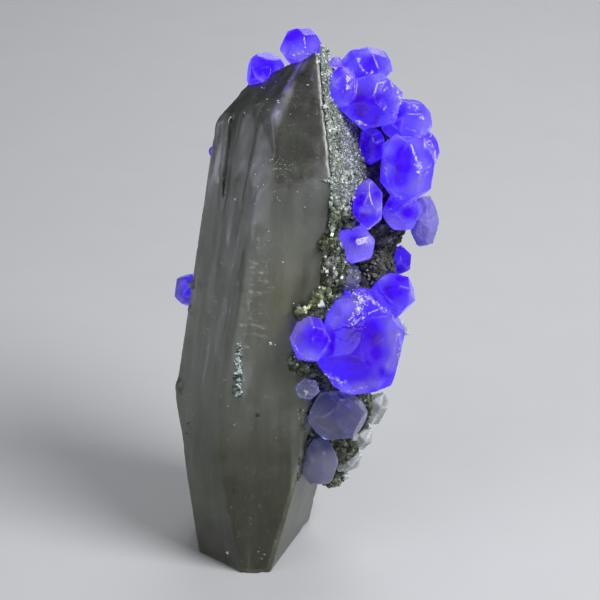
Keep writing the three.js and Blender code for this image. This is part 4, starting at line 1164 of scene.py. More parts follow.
# Rounded and angular grains all over the crust.
for shape, m in ((ico(), (~on_coat) & (pick < 0.28)), (block(), (~on_coat) & (pick > 0.28) & (pick < 0.80))):
    n = int(m.sum())
    size = 0.15 + 0.42 * rng.random(n) ** 2.4
    tone = crust_tone(gp[m], 601) * (0.25 + 1.6 * rng.random((n, 1)) ** 1.5)
    add("crust_grains", shape, gp[m] + gn[m] * size[:, None] * 0.2, size, frames(n), 0.7 + 0.7 * rng.random((n, 3)), np.clip(tone, 0, 1), 0.28)
# Small clear and white crystals between them, fewer in the dark hollow.
m = (~on_coat) & (pick > 0.93) & (gp[:, 2] > 30) & ((gp[:, 1] < -3) | (pick > 0.985))
n = int(m.sum())
size = 0.13 + 0.24 * rng.random(n) ** 2
tone = np.clip(np.array([0.74, 0.78, 0.75]) * (0.4 + 0.9 * rng.random((n, 1))), 0, 1)
add("crust_frosting", block(), gp[m] + gn[m] * size[:, None] * 0.3, size, frames(n), 0.8 + 0.5 * rng.random((n, 3)), tone, 0.2)
# Fine sugar on the coated end face.
cp, cn = surface_points(cv, cf, int(100000 / FINE))
s = slack(cp, right_end[None])[:, 0]
ok = (s > -0.05) & (s < 2.0) & (cp[:, 2] > 70.5) & (cp[:, 0] < 22) & (cn @ bevel > 0.3)
ok &= free_of_crystals(cp, 0.1)
cp, cn = cp[ok], cn[ok]
n = len(cp)
size = 0.10 + 0.20 * rng.random(n) ** 2
shade = crust_tone(cp, 701) * 1.05
white = (rng.random((n, 1)) < 0.18) * np.array([[0.45, 0.48, 0.49]])
black = 1 - 0.7 * (rng.random((n, 1)) < 0.07)
add("crust_frosting", hexa(), cp + cn * size[:, None] * 0.2, size, frames(n, cn, 0.9), 0.8 + 0.4 * rng.random((n, 3)),
    np.clip((shade * (0.6 + 0.8 * rng.random((n, 1))) + white) * black, 0, 0.95), 0.1)
# Grains that spread over the bare right side of the quartz, between the lumps, and round its tip.
sp, sn = surface_points(qv, qf, int(28000 / FINE))
side = np.maximum(slack(sp, right_prism[None])[:, 0], slack(sp, back_right_prism[None])[:, 0])
ok = (side > -0.35) & (sp[:, 2] > 9) & (sp[:, 2] < 80) & (noise(sp, 3.0, 720) + 0.5 * noise(sp, 1.1, 721) > 0.10 + 0.25 * ramp(sp[:, 1], 8, 14) + 0.3 * ramp(-sp[:, 1], 8.5, 10))
tip = (np.linalg.norm(sp - np.array([14.2, 2.6, 94.0]), axis=1) < 1.9) & (slack(sp, right_end[None])[:, 0] > -0.5)
ok = (ok | tip) & np.all([fluorite_rough(name, sp) > 0.12 for name in ORDER], 0) & np.all([slack(sp, q).max(1) > 0.12 for q in SMALL.values()], 0)
tip, sp, sn = tip[ok], sp[ok], sn[ok]
n = len(sp)
size = 0.12 + 0.28 * rng.random(n) ** 2.2
tone = crust_tone(sp + sn * 0.5, 731) * (0.5 + 0.9 * rng.random((n, 1)))
tone = np.where(tip[:, None], np.array([[0.50, 0.54, 0.48]]) * (0.5 + 0.8 * rng.random((n, 1))), tone)
add("crust_grains", ico(), sp + sn * size[:, None] * 0.2, size, frames(n), 0.75 + 0.5 * rng.random((n, 3)), np.clip(tone, 0, 1), 0.22)
# Grains that half bury the greyish fluorite.
lo, hi = BOXES["fluorite_grey_mass"]
at = settle(lo + (hi - lo) * rng.random((260, 3)), fluorite_fields("fluorite_grey_mass")[1], 6.0, 6)
at = at[(np.abs(fluorite_fields("fluorite_grey_mass")[1](at)) < 0.05) & (noise(at, 1.6, 761) > -0.15)]
n = len(at)
add("crust_frosting", ico(), at, 0.12 + 0.22 * rng.random(n) ** 2, frames(n), 0.75 + 0.5 * rng.random((n, 3)), np.array([[0.24, 0.24, 0.30]]) * (0.3 + 1.4 * rng.random((n, 1)) ** 1.5), 0.22)
# The big square white glint beside the big fluorite, and a few like it.
square = seen_at(crust_fine, [(321, 304)])[0]
for at, size, k in ((square, 0.80, 1), ((16.0, -9.9, 66.8), 0.42, 2), ((15.4, -10.2, 59.7), 0.40, 3), ((11.6, -11.6, 53.0), 0.34, 3), ((10.6, -12.0, 43.4), 0.3, 3)):
    at = np.array(at) + rng.normal(size=(k, 3)) * (0.0 if k == 1 else 0.6)
    at = settle(at, crust_fine, 3.0, 4)
    add("crust_frosting", block(), at, np.full(k, size), frames(k, np.array([[0.1, -0.8, 0.5]]), 0.35), 0.9 + 0.2 * rng.random((k, 3)), np.tile([0.93, 0.95, 0.93], (k, 1)), 0.08)

# The thin white line along the front edge of the coated face.
top, foot = np.array(TIP), np.array(FRONT_EDGE_TOP_R)
out = right_end[:3] + front_end[:3]
out /= np.linalg.norm(out)
t = np.linspace(0.06, 1.0, 150)
lp = top + (foot - top) * t[:, None]
lp = settle(lp + out * 0.3, quartz_fine, 3.0, 5, quartz_shape)
wobble = np.column_stack([noise(lp, 1.1, 741), noise(lp, 1.1, 742), noise(lp, 1.1, 743)])
lp = lp + 0.05 * wobble
width = (0.045 + 0.015 * noise(lp, 0.8, 744) + 0.03 * np.abs(noise(lp, 0.35, 745))) * np.sin(np.pi * np.clip(t * 1.02, 0.02, 0.98)) ** 0.3 * (0.55 + 0.45 * ramp(noise(lp, 3.0, 746), -0.3, 0.3))
along = (foot - top) / np.linalg.norm(foot - top)
side = np.cross(along, out)
a = np.arange(6) * math.pi / 3
ring = lp[:, None] + width[:, None, None] * (np.cos(a)[None, :, None] * out + np.sin(a)[None, :, None] * side)
v = np.concatenate([ring.reshape(-1, 3), lp[:1], lp[-1:]])
f = []
for i in range(len(lp) - 1):
    for j in range(6):
        k = (j + 1) % 6
        f += [(6 * i + j, 6 * i + k, 6 * i + 6 + k), (6 * i + j, 6 * i + 6 + k, 6 * i + 6 + j)]
n = len(lp)
for j in range(6):
    k = (j + 1) % 6
    f += [(6 * n, k, j), (6 * n + 1, 6 * n - 6 + j, 6 * n - 6 + k)]
f = np.array(f)
centre = v[f].mean(1) - np.concatenate([lp, lp[:1], lp[-1:]])[np.minimum(f[:, 0] // 6, n - 1)]
if (np.cross(v[f[:, 1]] - v[f[:, 0]], v[f[:, 2]] - v[f[:, 0]]) * centre).sum() < 0:
    f = f[:, ::-1]
shade = 0.45 + 0.5 * ramp(noise(lp, 2.2, 747) + 0.35 * (0.5 - t), -0.25, 0.3)
parts["crust_frosting"].append((v, f, np.array([[0.93, 0.95, 0.96]]) * np.concatenate([np.repeat(shade, 6), shade[:1], shade[-1:]])[:, None]))

# Painted glints along the growth steps and bruised edges of the fluorites: small pale blocks that stand on the faces.
GLINTS = [  # crystal, line in pixels, spread, how many, size
    ("fluorite_big_pair", 0, ((354, 291), (362, 299), (358, 311), (350, 324)), 2.6, 84, 0.17), ("fluorite_big_pair", 0, ((364, 293), (376, 304), (394, 316)), 1.4, 46, 0.12),
    ("fluorite_big_pair", 0, ((324, 373), (336, 380), (346, 383)), 1.4, 30, 0.13), ("fluorite_big_pair", 0, ((320, 381), (337, 392), (352, 391), (368, 387)), 0.8, 36, 0.09),
    ("fluorite_big_pair", 0, ((398, 330), (401, 345), (397, 361)), 1.2, 20, 0.09), ("fluorite_big_pair", 1, ((291, 340), (298, 352), (312, 360)), 0.8, 22, 0.09),
    ("fluorite_crown_cluster", 1, ((358, 58), (360, 66), (366, 73), (373, 72)), 0.8, 26, 0.12), ("fluorite_crown_cluster", 1, ((347, 55), (345, 62)), 0.8, 10, 0.10),
    ("fluorite_crown_cluster", 2, ((355, 121), (362, 124), (366, 125)), 0.7, 14, 0.12), ("fluorite_crown_cluster", 2, ((392, 82), (400, 94), (401, 104)), 1.0, 22, 0.10),
    ("fluorite_crown_cluster", 4, ((385, 165), (388, 184), (395, 195), (403, 199)), 0.8, 28, 0.10), ("fluorite_crown_cluster", 5, ((433, 146), (436, 160), (430, 180)), 1.0, 20, 0.10),
    ("fluorite_mid_oval", 0, ((355, 222), (362, 228), (371, 228)), 0.6, 12, 0.09), ("fluorite_bead", 0, ((303, 391), (308, 392), (305, 395)), 0.5, 7, 0.14),
    ("fluorite_tip", 0, ((284, 54), (292, 55), (302, 52), (312, 55)), 1.2, 12, 0.09), ("fluorite_mid_pair", 0, ((383, 213), (401, 203), (416, 207)), 0.6, 12, 0.08),
]
glint_at, glint_size, glint_turn = [], [], []
for name, i, pixels, spread, count, size in GLINTS:
    px = np.array(pixels, float)
    t = rng.random(count) * (len(px) - 1)
    k = np.minimum(t.astype(int), len(px) - 2)
    px = px[k] + (px[k + 1] - px[k]) * (t - k)[:, None] + spread * rng.normal(size=(count, 2))
    field = fluorite_fields(name)[1]
    at = settle(on_fluorite(name, i, *px), field, 3.0, 5)
    good = np.abs(field(at)) < 0.05
    glint_at.append(at[good])
    glint_size.append(size * (0.55 + 1.1 * rng.random(int(good.sum())) ** 1.6))
    glint_turn.append(np.tile(turned(FLUORITES[name][i][2]).T, (int(good.sum()), 1, 1)))
glint_at, glint_size, glint_turn = (np.concatenate(t) for t in (glint_at, glint_size, glint_turn))
n = len(glint_at)
v, f, k = scatter(block(), glint_at, glint_size, glint_turn, 0.35 + 2.1 * rng.random((n, 3)) ** 2, 0.15)
glints = object_of("fluorite_glints", v, f, smooth=False, colours={"tone": np.repeat(np.array([[0.90, 0.87, 1.0]]) * (0.7 + 0.3 * rng.random((n, 1))), k, 0)})
place(glints, "violet_fluorite")

grain_objects = {}
for part in parts:
    v, f, tone = joined(part)
    o = object_of(part, v, f, smooth=False, colours={"tone": tone})
    place(o, "crust", "matrix_crust")
    grain_objects[part] = o

# ------------------------------------------------------------------ specks on the quartz

PALE_GREY, WHITE, CYAN, OLIVE, BLACK = (0.42, 0.44, 0.42), (0.78, 0.80, 0.80), (0.50, 0.60, 0.60), (0.30, 0.31, 0.22), (0.03, 0.032, 0.02)
SPECKS = [  # middle and spread in pixels, how many, size, colour
    ((235, 200), (0.8, 0.5), 3, 0.34, WHITE), ((246, 199), (0.2, 0.2), 1, 0.12, WHITE), ((283, 262), (0.6, 0.6), 2, 0.20, WHITE),
    ((267, 263), (0.4, 0.4), 1, 0.16, WHITE), ((257, 247), (0.4, 0.4), 1, 0.13, WHITE), ((261, 285), (0.5, 0.5), 2, 0.15, PALE_GREY),
    ((271, 343), (1.6, 0.8), 4, 0.24, WHITE), ((271, 357), (0.4, 0.4), 1, 0.11, PALE_GREY), ((234, 424), (1.0, 1.0), 3, 0.24, PALE_GREY),
    ((258, 416), (1.2, 1.0), 4, 0.24, BLACK), ((226, 552), (1.0, 0.8), 4, 0.22, WHITE), ((307.8, 85.3), (0.3, 0.3), 1, 0.17, WHITE),
    ((254, 97), (0.3, 0.3), 1, 0.12, WHITE), ((277.5, 102), (1.0, 1.6), 5, 0.13, WHITE), ((270, 160), (2.0, 0.8), 6, 0.13, WHITE),
    ((283, 168), (8.0, 6.0), 46, 0.11, PALE_GREY), ((276, 162), (5.0, 2.0), 8, 0.09, WHITE), ((290, 180), (7.0, 8.0), 22, 0.09, OLIVE), ((274, 191), (0.4, 0.4), 1, 0.13, WHITE),
    ((225, 180), (1.5, 5.0), 7, 0.14, PALE_GREY), ((262, 262), (4.0, 5.0), 9, 0.09, PALE_GREY), ((255, 328), (7.0, 5.0), 14, 0.09, PALE_GREY),
    ((206, 333), (2.0, 7.0), 9, 0.15, PALE_GREY), ((225, 300), (4.0, 6.0), 8, 0.11, CYAN), ((209, 312), (0.8, 1.6), 3, 0.15, WHITE),
    ((193, 285), (1.2, 3.0), 7, 0.17, PALE_GREY), ((189, 308), (0.8, 2.0), 4, 0.17, WHITE), ((222, 262), (4.0, 7.0), 12, 0.12, CYAN),
    ((220, 372), (2.0, 5.0), 6, 0.11, PALE_GREY), ((190, 412), (3.0, 14.0), 14, 0.14, PALE_GREY), ((190, 428), (1.6, 4.0), 8, 0.20, BLACK),
    ((305, 424), (4.0, 13.0), 30, 0.10, (0.07, 0.07, 0.05)), ((303, 410), (2.0, 6.0), 8, 0.14, BLACK), ((300, 408), (3.0, 8.0), 14, 0.13, OLIVE), ((242, 530), (16.0, 18.0), 16, 0.10, PALE_GREY),
    ((262, 556), (5.0, 5.0), 8, 0.12, PALE_GREY), ((312, 150), (3.0, 26.0), 18, 0.09, BLACK), ((318, 110), (1.2, 24.0), 24, 0.12, PALE_GREY),
    ((295, 118), (6.0, 9.0), 6, 0.10, OLIVE), ((262, 66), (0, 0), 0, 0.1, WHITE),
]
at, sizes, tone = [], [], []
for (u, v), (su, sv), count, size, colour in SPECKS:
    for _ in range(count):
        du, dv = rng.normal(size=2)
        p = on_quartz((u + du * su, v + dv * sv))[0]
        if abs(quartz_rough(p[None])[0]) < 0.2:
            at.append(p)
            sizes.append(size * (0.5 + 0.7 * rng.random() ** 1.5))
            tone.append(np.array(colour) * (0.6 + 0.5 * rng.random()))
# A column of small lumps on the edge between the left and the front face.
for h in np.linspace(0, 1, 110):
    wide = 1.0 if 0.2 < h < 0.35 or h > 0.62 else 0.65
    p = on_quartz((238.5 + 2.1 * rng.normal() * wide, 343 + 53 * h))[0]
    at.append(p)
    sizes.append(0.12 + 0.32 * rng.random() ** 1.5)
    tone.append(np.array((0.05, 0.07, 0.07) if rng.random() < 0.25 else (0.52, 0.64, 0.64)) * (0.6 + 0.6 * rng.random()))
# Fine flecks in drifts over all its faces.
fp, _ = surface_points(qv, qf, 6000)
fp = fp[(noise(along_squeezed(fp, 3), 3.4, 751) + 0.8 * noise(fp, 1.2, 752) > 0.42) & (fp[:, 2] > 22 + 16 * rng.random(len(fp)))][:760]
for p in fp:
    at.append(p)
    sizes.append(0.04 + 0.12 * rng.random() ** 2.5)
    kind = rng.random()
    tone.append(np.array(PALE_GREY if kind < 0.74 else WHITE if kind < 0.93 else OLIVE if kind < 0.98 else BLACK) * (0.6 + 0.5 * rng.random()))
at, sizes, tone = settle(np.array(at), quartz_fine, 6.0, 6, quartz_shape), np.array(sizes), np.clip(np.array(tone), 0, 1)
keep = (np.abs(chunked(quartz_fine, at)) < 0.2) & (at[:, 2] > 0.6)
at, sizes, tone = at[keep], sizes[keep], tone[keep]
n = len(at)
v, f, k = scatter(ico(), at, sizes, frames(n), np.column_stack([0.6 + 0.5 * rng.random((n, 2)), 0.8 + 0.7 * rng.random(n)]), 0.25)
specks = object_of("quartz_specks", v, f, smooth=False, colours={"tone": np.repeat(tone, k, 0)})
place(specks, "white_quartz")

# ------------------------------------------------------------------ veils sealed in the quartz

veil_at = q_lo + rng.random((4000, 3)) * (q_hi - q_lo)
veil_at = veil_at[(quartz_rough(veil_at) < -2.4) & (veil_at[:, 2] > 8)][:130]
n = len(veil_at)
flake, flake_faces = ico()
edges, points = {}, list(flake)
flake_fine = []
for tri in flake_faces:
    mids = []
    for i, j in ((0, 1), (1, 2), (2, 0)):
        key = tuple(sorted((tri[i], tri[j])))
        if key not in edges:
            edges[key] = len(points)
            m = points[tri[i]] + points[tri[j]]
            points.append(m / np.linalg.norm(m))
        mids.append(edges[key])
    flake_fine += [(tri[0], mids[0], mids[2]), (tri[1], mids[1], mids[0]), (tri[2], mids[2], mids[1]), tuple(mids)]
flake = (np.array(points), np.array(flake_fine))
facing = np.where(rng.random((n, 1)) < 0.5, front_prism[:3], left_prism[:3])
half = np.column_stack([0.5 + 1.3 * rng.random(n), 0.8 + 2.2 * rng.random(n), np.full(n, 0.03)])
v, f, k = scatter(flake, veil_at, np.ones(n), frames(n, facing, 0.35), half, 0.12)
good = (quartz_rough(v).reshape(n, k) < -0.5).all(1)
v = v.reshape(n, k, 3)[good].reshape(-1, 3)
f = f.reshape(n, -1, 3)[0][None] + (np.arange(good.sum()) * k)[:, None, None]
veils = object_of("quartz_veils", v, f.reshape(-1, 3))
place(veils, "smoky_quartz")

# Wisps sealed in the fluorites, along their faces.
wisps = []
for name in ORDER:
    for i, planes in enumerate(CRYSTALS[name]):
        lo, hi = BOX_OF[name][i]
        p = lo + rng.random((4000, 3)) * (hi - lo)
        v = slack(p, planes)
        own = v.max(1)
        ok = (own < -0.35) & (own > -1.9) & (fluorite_fields(name)[0](p) < -0.35)
        p, v = p[ok][:int(2 + 0.035 * np.prod(hi - lo) ** 0.85)], v[ok]
        wisps += [(at, planes[k, :3], planes) for at, k in zip(p, v.argmax(1))]
n = len(wisps)
half = np.column_stack([0.12 + 0.55 * rng.random(n) ** 2, 0.2 + 0.9 * rng.random(n) ** 2, np.full(n, 0.012)])
v, f, k = scatter(flake, np.array([w[0] for w in wisps]), np.ones(n), frames(n, np.array([w[1] for w in wisps]), 0.3), half, 0.25)
v = v.reshape(n, k, 3)
good = np.array([slack(q, w[2]).max() < -0.2 for q, w in zip(v, wisps)])
f = f.reshape(n, -1, 3)[0][None] + (np.arange(good.sum()) * k)[:, None, None]
fluorite_wisps = object_of("fluorite_wisps", v[good].reshape(-1, 3), f.reshape(-1, 3))
place(fluorite_wisps, "violet_fluorite")

# ------------------------------------------------------------------ materials


class Nodes:
    """Small help for making node materials."""

    def __init__(self, name):
        self.m = bpy.data.materials.new(name)
        self.m.use_nodes = True
        self.t = self.m.node_tree
        self.t.nodes.clear()
        self.out = self.t.nodes.new("ShaderNodeOutputMaterial")
        self.b = self.t.nodes.new("ShaderNodeBsdfPrincipled")
        self.link(self.b.outputs[0], self.out.inputs["Surface"])
        self.co = self.t.nodes.new("ShaderNodeTexCoord").outputs["Object"]

    def link(self, a, b):
        self.t.links.new(a, b)

    def put(self, value, socket):
        if hasattr(value, "is_linked"):
            self.link(value, socket)
        else:
            socket.default_value = value

    def attribute(self, name, colour=False):
        n = self.t.nodes.new("ShaderNodeAttribute")
        n.attribute_name = name
        return n.outputs["Color" if colour else "Fac"]

    def noise(self, scale, detail=4.0, squash=None, rough=0.55):
        n = self.t.nodes.new("ShaderNodeTexNoise")
        n.inputs["Scale"].default_value = scale
        n.inputs["Detail"].default_value = detail
        n.inputs["Roughness"].default_value = rough
        co = self.co
        if squash:
            mp = self.t.nodes.new("ShaderNodeMapping")
            mp.inputs["Rotation"].default_value = (0, math.radians(-7.6), 0)
            mp.inputs["Scale"].default_value = squash
            self.link(co, mp.inputs["Vector"])
            co = mp.outputs["Vector"]
        self.link(co, n.inputs["Vector"])
        return n.outputs["Fac"]

    def voronoi(self, scale):
        n = self.t.nodes.new("ShaderNodeTexVoronoi")
        n.inputs["Scale"].default_value = scale
        self.link(self.co, n.inputs["Vector"])
        return n.outputs["Distance"]

    def maths(self, op, a, b=0.0, clamp=False):
        n = self.t.nodes.new("ShaderNodeMath")
        n.operation = op
        n.use_clamp = clamp
        self.put(a, n.inputs[0])
        self.put(b, n.inputs[1])
        return n.outputs[0]

    def between(self, x, a, b, lo, hi):
        n = self.t.nodes.new("ShaderNodeMapRange")
        self.put(x, n.inputs["Value"])
        for key, val in (("From Min", a), ("From Max", b), ("To Min", lo), ("To Max", hi)):
            n.inputs[key].default_value = val
        return n.outputs["Result"]

    def ramp(self, x, *stops):
        n = self.t.nodes.new("ShaderNodeValToRGB")
        e = n.color_ramp.elements
        while len(e) < len(stops):
            e.new(0.5)
        for el, (pos, colour) in zip(e, stops):
            el.position = pos
            el.color = (*colour, 1)
        self.put(x, n.inputs["Fac"])
        return n.outputs["Color"]

    def mix(self, t, a, b, kind="MIX"):
        n = self.t.nodes.new("ShaderNodeMix")
        n.data_type = "RGBA"
        n.blend_type = kind
        self.put(t, n.inputs[0])
        for val, s in ((a, n.inputs[6]), (b, n.inputs[7])):
            self.put(val if hasattr(val, "is_linked") else (*val, 1), s)
        return n.outputs[2]

    def bump(self, height, strength, distance):
        n = self.t.nodes.new("ShaderNodeBump")
        n.inputs["Strength"].default_value = strength
        n.inputs["Distance"].default_value = distance
        self.link(height, n.inputs["Height"])
        self.link(n.outputs["Normal"], self.b.inputs["Normal"])

    def absorb(self, colour, density):
        n = self.t.nodes.new("ShaderNodeVolumeAbsorption")
        n.inputs["Color"].default_value = (*colour, 1)
        n.inputs["Density"].default_value = density
        self.link(n.outputs[0], self.out.inputs["Volume"])

    def set(self, **values):
        for key, val in values.items():
            self.put(val, self.b.inputs[key.replace("_", " ")])


def quartz_material():
    n = Nodes("smoky quartz")
    streak = n.noise(700, 3, (1, 1, 0.06))
    cloud = n.noise(150, 6)
    grainy = n.noise(2600, 2)
    cross = n.between(n.noise(4000, 2, (0.07, 0.07, 1)), 0.57, 0.69, 0.0, 0.34)
    f = n.maths("ADD", n.attribute("frost"), n.maths("MULTIPLY", n.attribute("cross"), cross))
    spots = n.between(n.noise(1300, 5, (1, 1, 0.4), 0.7), 0.56, 0.72, 0.0, 0.5)
    f = n.maths("ADD", f, n.maths("MULTIPLY", n.attribute("spots"), spots))
    f = n.maths("ADD", f, n.between(streak, 0.3, 0.7, -0.04, 0.04))
    f = n.maths("ADD", f, n.between(cloud, 0.3, 0.7, -0.06, 0.06))
    f = n.maths("ADD", f, n.between(grainy, 0.35, 0.65, -0.02, 0.02), clamp=True)
    colour = n.ramp(f, (0.0, (0.175, 0.183, 0.14)), (0.35, (0.37, 0.38, 0.35)), (0.65, (0.45, 0.465, 0.48)), (1.0, (0.74, 0.78, 0.82)))
    colour = n.mix(n.attribute("warm"), colour, n.mix(1.0, colour, (1.0, 1.02, 0.68), "MULTIPLY"))
    violet = n.attribute("violet")
    colour = n.mix(violet, colour, (0.30, 0.20, 1.0))
    clear = n.maths("SUBTRACT", n.between(f, 0.0, 1.0, 0.96, 0.48), n.maths("MULTIPLY", violet, 0.4), clamp=True)
    # Painted shade at the foot and over the lower right facet: dark and not see-through.
    foot_shade = n.attribute("foot_shade")
    colour = n.mix(foot_shade, colour, (0.016, 0.016, 0.014))
    clear = n.maths("SUBTRACT", clear, foot_shade, clamp=True)
    n.set(Base_Color=colour, Transmission_Weight=clear, Roughness=n.between(f, 0.0, 1.0, 0.27, 0.52), IOR=1.544)
    n.bump(n.maths("ADD", grainy, n.maths("MULTIPLY", streak, 1.2)), 0.30, 0.00008)
    n.absorb((0.46, 0.47, 0.38), 105.0)
    return n.m


def veil_material(name):
    n = Nodes(name)
    cloud = n.noise(900, 4)
    n.set(Base_Color=n.ramp(cloud, (0.3, (0.70, 0.72, 0.66)), (0.7, (0.90, 0.92, 0.92))), Transmission_Weight=n.between(cloud, 0.3, 0.7, 0.9, 0.65),
          Roughness=0.5, IOR=1.0)
    return n.m


def wisp_material():
    n = Nodes("fluorite wisps")
    cloud = n.noise(900, 4)
    n.set(Base_Color=n.ramp(cloud, (0.3, (0.50, 0.44, 1.0)), (0.7, (0.74, 0.70, 1.0))), Transmission_Weight=n.between(cloud, 0.3, 0.7, 0.97, 0.88),
          Roughness=0.4, IOR=1.0)
    return n.m


def glint_material():
    n = Nodes("fluorite glints")
    fine = n.noise(2200, 3)
    n.set(Base_Color=n.attribute("tone", True), Transmission_Weight=0.3, Roughness=n.between(fine, 0.3, 0.7, 0.08, 0.25), IOR=1.434)
    return n.m


def fluorite_material(name, pale, core, white, dusty, glow_pale, glow_core, absorb, density, clear, glow, rough, sheen):
    n = Nodes(name)
    fine = n.noise(900, 4)
    cloud = n.noise(330, 5)
    frosted = n.attribute("frosted")
    deep = n.maths("ADD", n.attribute("deep"), n.between(cloud, 0.3, 0.7, -0.12, 0.12), clamp=True)
    edge = n.maths("MULTIPLY", n.attribute("rim"), n.between(fine, 0.3, 0.7, 0.35, 0.95), clamp=True)
    dust = n.maths("MULTIPLY", frosted, n.between(fine, 0.3, 0.7, 0.6, 1.0))
    colour = n.mix(dust, n.mix(edge, n.mix(deep, pale, core), white), dusty)
    # Painted glow: emission stronger where the colour is deep, paler at the edges, and lowered for crystals in shade
    # and where frosted.
    lit = n.mix(edge, n.mix(deep, glow_pale, glow_core), tuple(0.6 * c for c in glow_pale))
    lit = n.mix(n.maths("MAXIMUM", n.attribute("shade_dim"), n.maths("MULTIPLY", frosted, 0.7)), lit, (0.0, 0.0, 0.0))
    n.set(Base_Color=colour, Transmission_Weight=n.between(n.maths("MAXIMUM", edge, dust), 0.0, 1.0, clear, 0.45 * clear), IOR=1.434,
          Roughness=n.maths("ADD", n.between(fine, 0.3, 0.7, rough, rough * 1.8), n.maths("MULTIPLY", frosted, 0.25)),
          Specular_IOR_Level=0.26, Sheen_Weight=sheen, Sheen_Roughness=0.22, Sheen_Tint=(*white, 1), Emission_Color=lit, Emission_Strength=glow)
    n.bump(n.maths("ADD", fine, cloud), 0.10, 0.00007)
    n.absorb(absorb, density)
    return n.m


def phantom_material(name, glow, absorb, density, strength):
    n = Nodes(name)
    cloud = n.noise(420, 3)
    n.set(Base_Color=(1, 1, 1, 1), Transmission_Weight=1.0, IOR=1.0, Roughness=0.0, Emission_Strength=strength,
          Emission_Color=n.ramp(cloud, (0.3, tuple(0.5 * c for c in glow)), (0.7, glow)))
    n.absorb(absorb, density)
    return n.m


def white_quartz_material():
    n = Nodes("milky quartz")
    cloud = n.noise(420, 5)
    fine = n.noise(1500, 3)
    edge = n.attribute("rim")
    f = n.maths("ADD", n.between(cloud, 0.3, 0.7, 0.0, 0.65), n.maths("MULTIPLY", edge, 0.45), clamp=True)
    n.set(Base_Color=n.ramp(f, (0.0, (0.42, 0.455, 0.45)), (1.0, (0.80, 0.83, 0.83))), Transmission_Weight=n.between(f, 0, 1, 0.6, 0.2),
          Roughness=n.between(fine, 0.3, 0.7, 0.12, 0.35), IOR=1.544)
    n.bump(fine, 0.2, 0.00006)
    n.absorb((0.80, 0.84, 0.80), 40.0)
    return n.m


def crust_material(name, rough_lo, rough_hi, clear=0.0):
    n = Nodes(name)
    tone = n.attribute("tone", True)
    fine = n.noise(2200, 4)
    big = n.noise(520, 4)
    colour = n.mix(n.between(big, 0.35, 0.65, 0.0, 0.55), tone, n.mix(1.0, tone, (0.55, 0.60, 0.42), "MULTIPLY"))
    colour = n.mix(n.between(fine, 0.4, 0.75, 0.0, 0.45), colour, n.mix(1.0, colour, (1.7, 1.75, 1.7), "MULTIPLY"))
    n.set(Base_Color=colour, Roughness=n.between(fine, 0.3, 0.7, rough_lo, rough_hi), IOR=1.5)
    if clear:
        n.set(Transmission_Weight=clear)
    n.bump(fine, 0.35, 0.0001)
    return n.m


quartz.data.materials.append(quartz_material())
veils.data.materials.append(veil_material("quartz veils"))
fluorite_wisps.data.materials.append(wisp_material())
violet = fluorite_material("violet fluorite", (0.60, 0.49, 1.0), (0.15, 0.015, 1.0), (0.84, 0.80, 1.0), (0.29, 0.30, 0.52), (0.27, 0.19, 0.62), (0.085, 0.0, 0.88),
                           (0.31, 0.11, 0.92), 400.0, 0.93, 0.44, 0.13, 0.38)
pale = fluorite_material("pale fluorite", (0.56, 0.57, 0.66), (0.34, 0.35, 0.56), (0.74, 0.76, 0.84), (0.12, 0.13, 0.14), (0.055, 0.055, 0.095), (0.02, 0.015, 0.16),
                         (0.54, 0.55, 0.74), 170.0, 0.88, 0.35, 0.14, 0.25)
for name, o in fluorite_objects.items():
    o.data.materials.append(pale if name in PALE else violet)
phantom_objects["violet"].data.materials.append(phantom_material("violet phantom", (0.05, 0.0, 0.9), (0.32, 0.0, 0.98), 520.0, 0.03))
phantom_objects["pale"].data.materials.append(phantom_material("pale phantom", (0.02, 0.01, 0.2), (0.42, 0.41, 0.80), 220.0, 0.02))
milky = white_quartz_material()
for o in small_objects:
    o.data.materials.append(milky)
crust.data.materials.append(crust_material("crust", 0.55, 0.9))
grain_objects["crust_grains"].data.materials.append(crust_material("crust grains", 0.25, 0.7))
grain_objects["crust_frosting"].data.materials.append(crust_material("crust frosting", 0.15, 0.45, 0.25))
specks.data.materials.append(crust_material("quartz specks", 0.12, 0.4, 0.2))
glints.data.materials.append(glint_material())

# ------------------------------------------------------------------ stage, camera and light


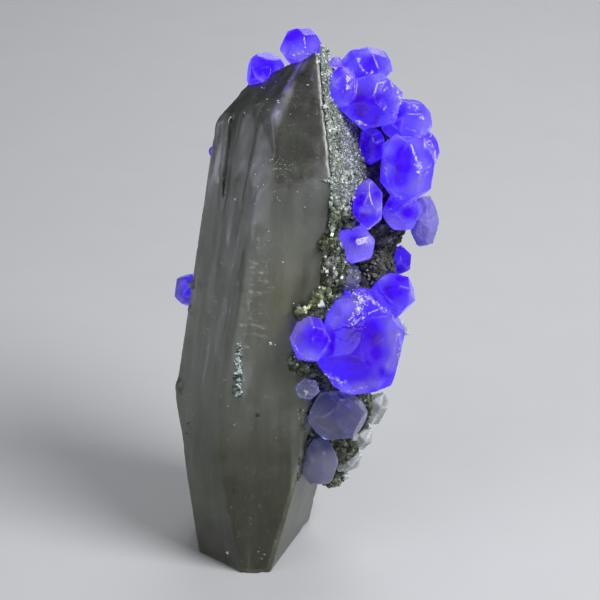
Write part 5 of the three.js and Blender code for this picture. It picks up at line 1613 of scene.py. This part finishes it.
def stage_floor():
    s = 1.6
    m = bpy.data.meshes.new("floor")
    m.from_pydata([(-s, -s, -0.00005), (s, -s, -0.00005), (s, s, -0.00005), (-s, s, -0.00005)], [], [(0, 1, 2, 3)])
    o = bpy.data.objects.new("floor", m)
    bpy.context.scene.collection.objects.link(o)
    n = Nodes("floor")
    grain = n.noise(60, 3)
    n.set(Base_Color=n.mix(grain, (0.48, 0.49, 0.505), (0.51, 0.52, 0.535)), Roughness=0.7)
    m.materials.append(n.m)


stage_floor()

camera = bpy.data.cameras.new("camera")
camera.sensor_width = 36.0
camera.lens = 36.0 * FOCAL / 600.0
camera.clip_start = 0.01
cam = bpy.data.objects.new("camera", camera)
cam.location = tuple(CAMERA * 0.001)
cam.rotation_euler = (math.pi / 2 - TILT, 0, 0)
bpy.context.scene.collection.objects.link(cam)
bpy.context.scene.camera = cam


def area_light(name, at, target, size, power, colour=(1, 1, 1)):
    l = bpy.data.lights.new(name, "AREA")
    l.shape = "DISK"
    l.size = size
    l.energy = power
    l.color = colour
    o = bpy.data.objects.new(name, l)
    o.location = at
    d = np.array(target, float) - np.array(at, float)
    from mathutils import Vector
    o.rotation_euler = Vector(d).to_track_quat("-Z", "Y").to_euler()
    bpy.context.scene.collection.objects.link(o)


area_light("key", (0.34, -0.22, 0.42), (0.01, 0, 0.05), 0.28, 3.5)
area_light("fill", (-0.45, -0.38, 0.30), (0.01, 0, 0.05), 0.5, 1.15)
area_light("back", (0.10, 0.45, 0.40), (0.01, 0, 0.06), 0.45, 1.2)

world = bpy.data.worlds.new("studio")
world.use_nodes = True
bg = world.node_tree.nodes["Background"]
bg.inputs["Color"].default_value = (0.80, 0.83, 0.88, 1)
bg.inputs["Strength"].default_value = 0.20
scene = bpy.context.scene
scene.world = world
scene.view_settings.view_transform = "Standard"
scene.cycles.max_bounces = 16
scene.cycles.transmission_bounces = 14
scene.cycles.glossy_bounces = 6
scene.cycles.diffuse_bounces = 4

total = 0
for o in scene.objects:
    if o.type == "MESH" and not o.hide_render:
        t = sum(len(p.vertices) - 2 for p in o.data.polygons)
        total += t
        print(o.name, t, "triangles")
print("all", total, "triangles")
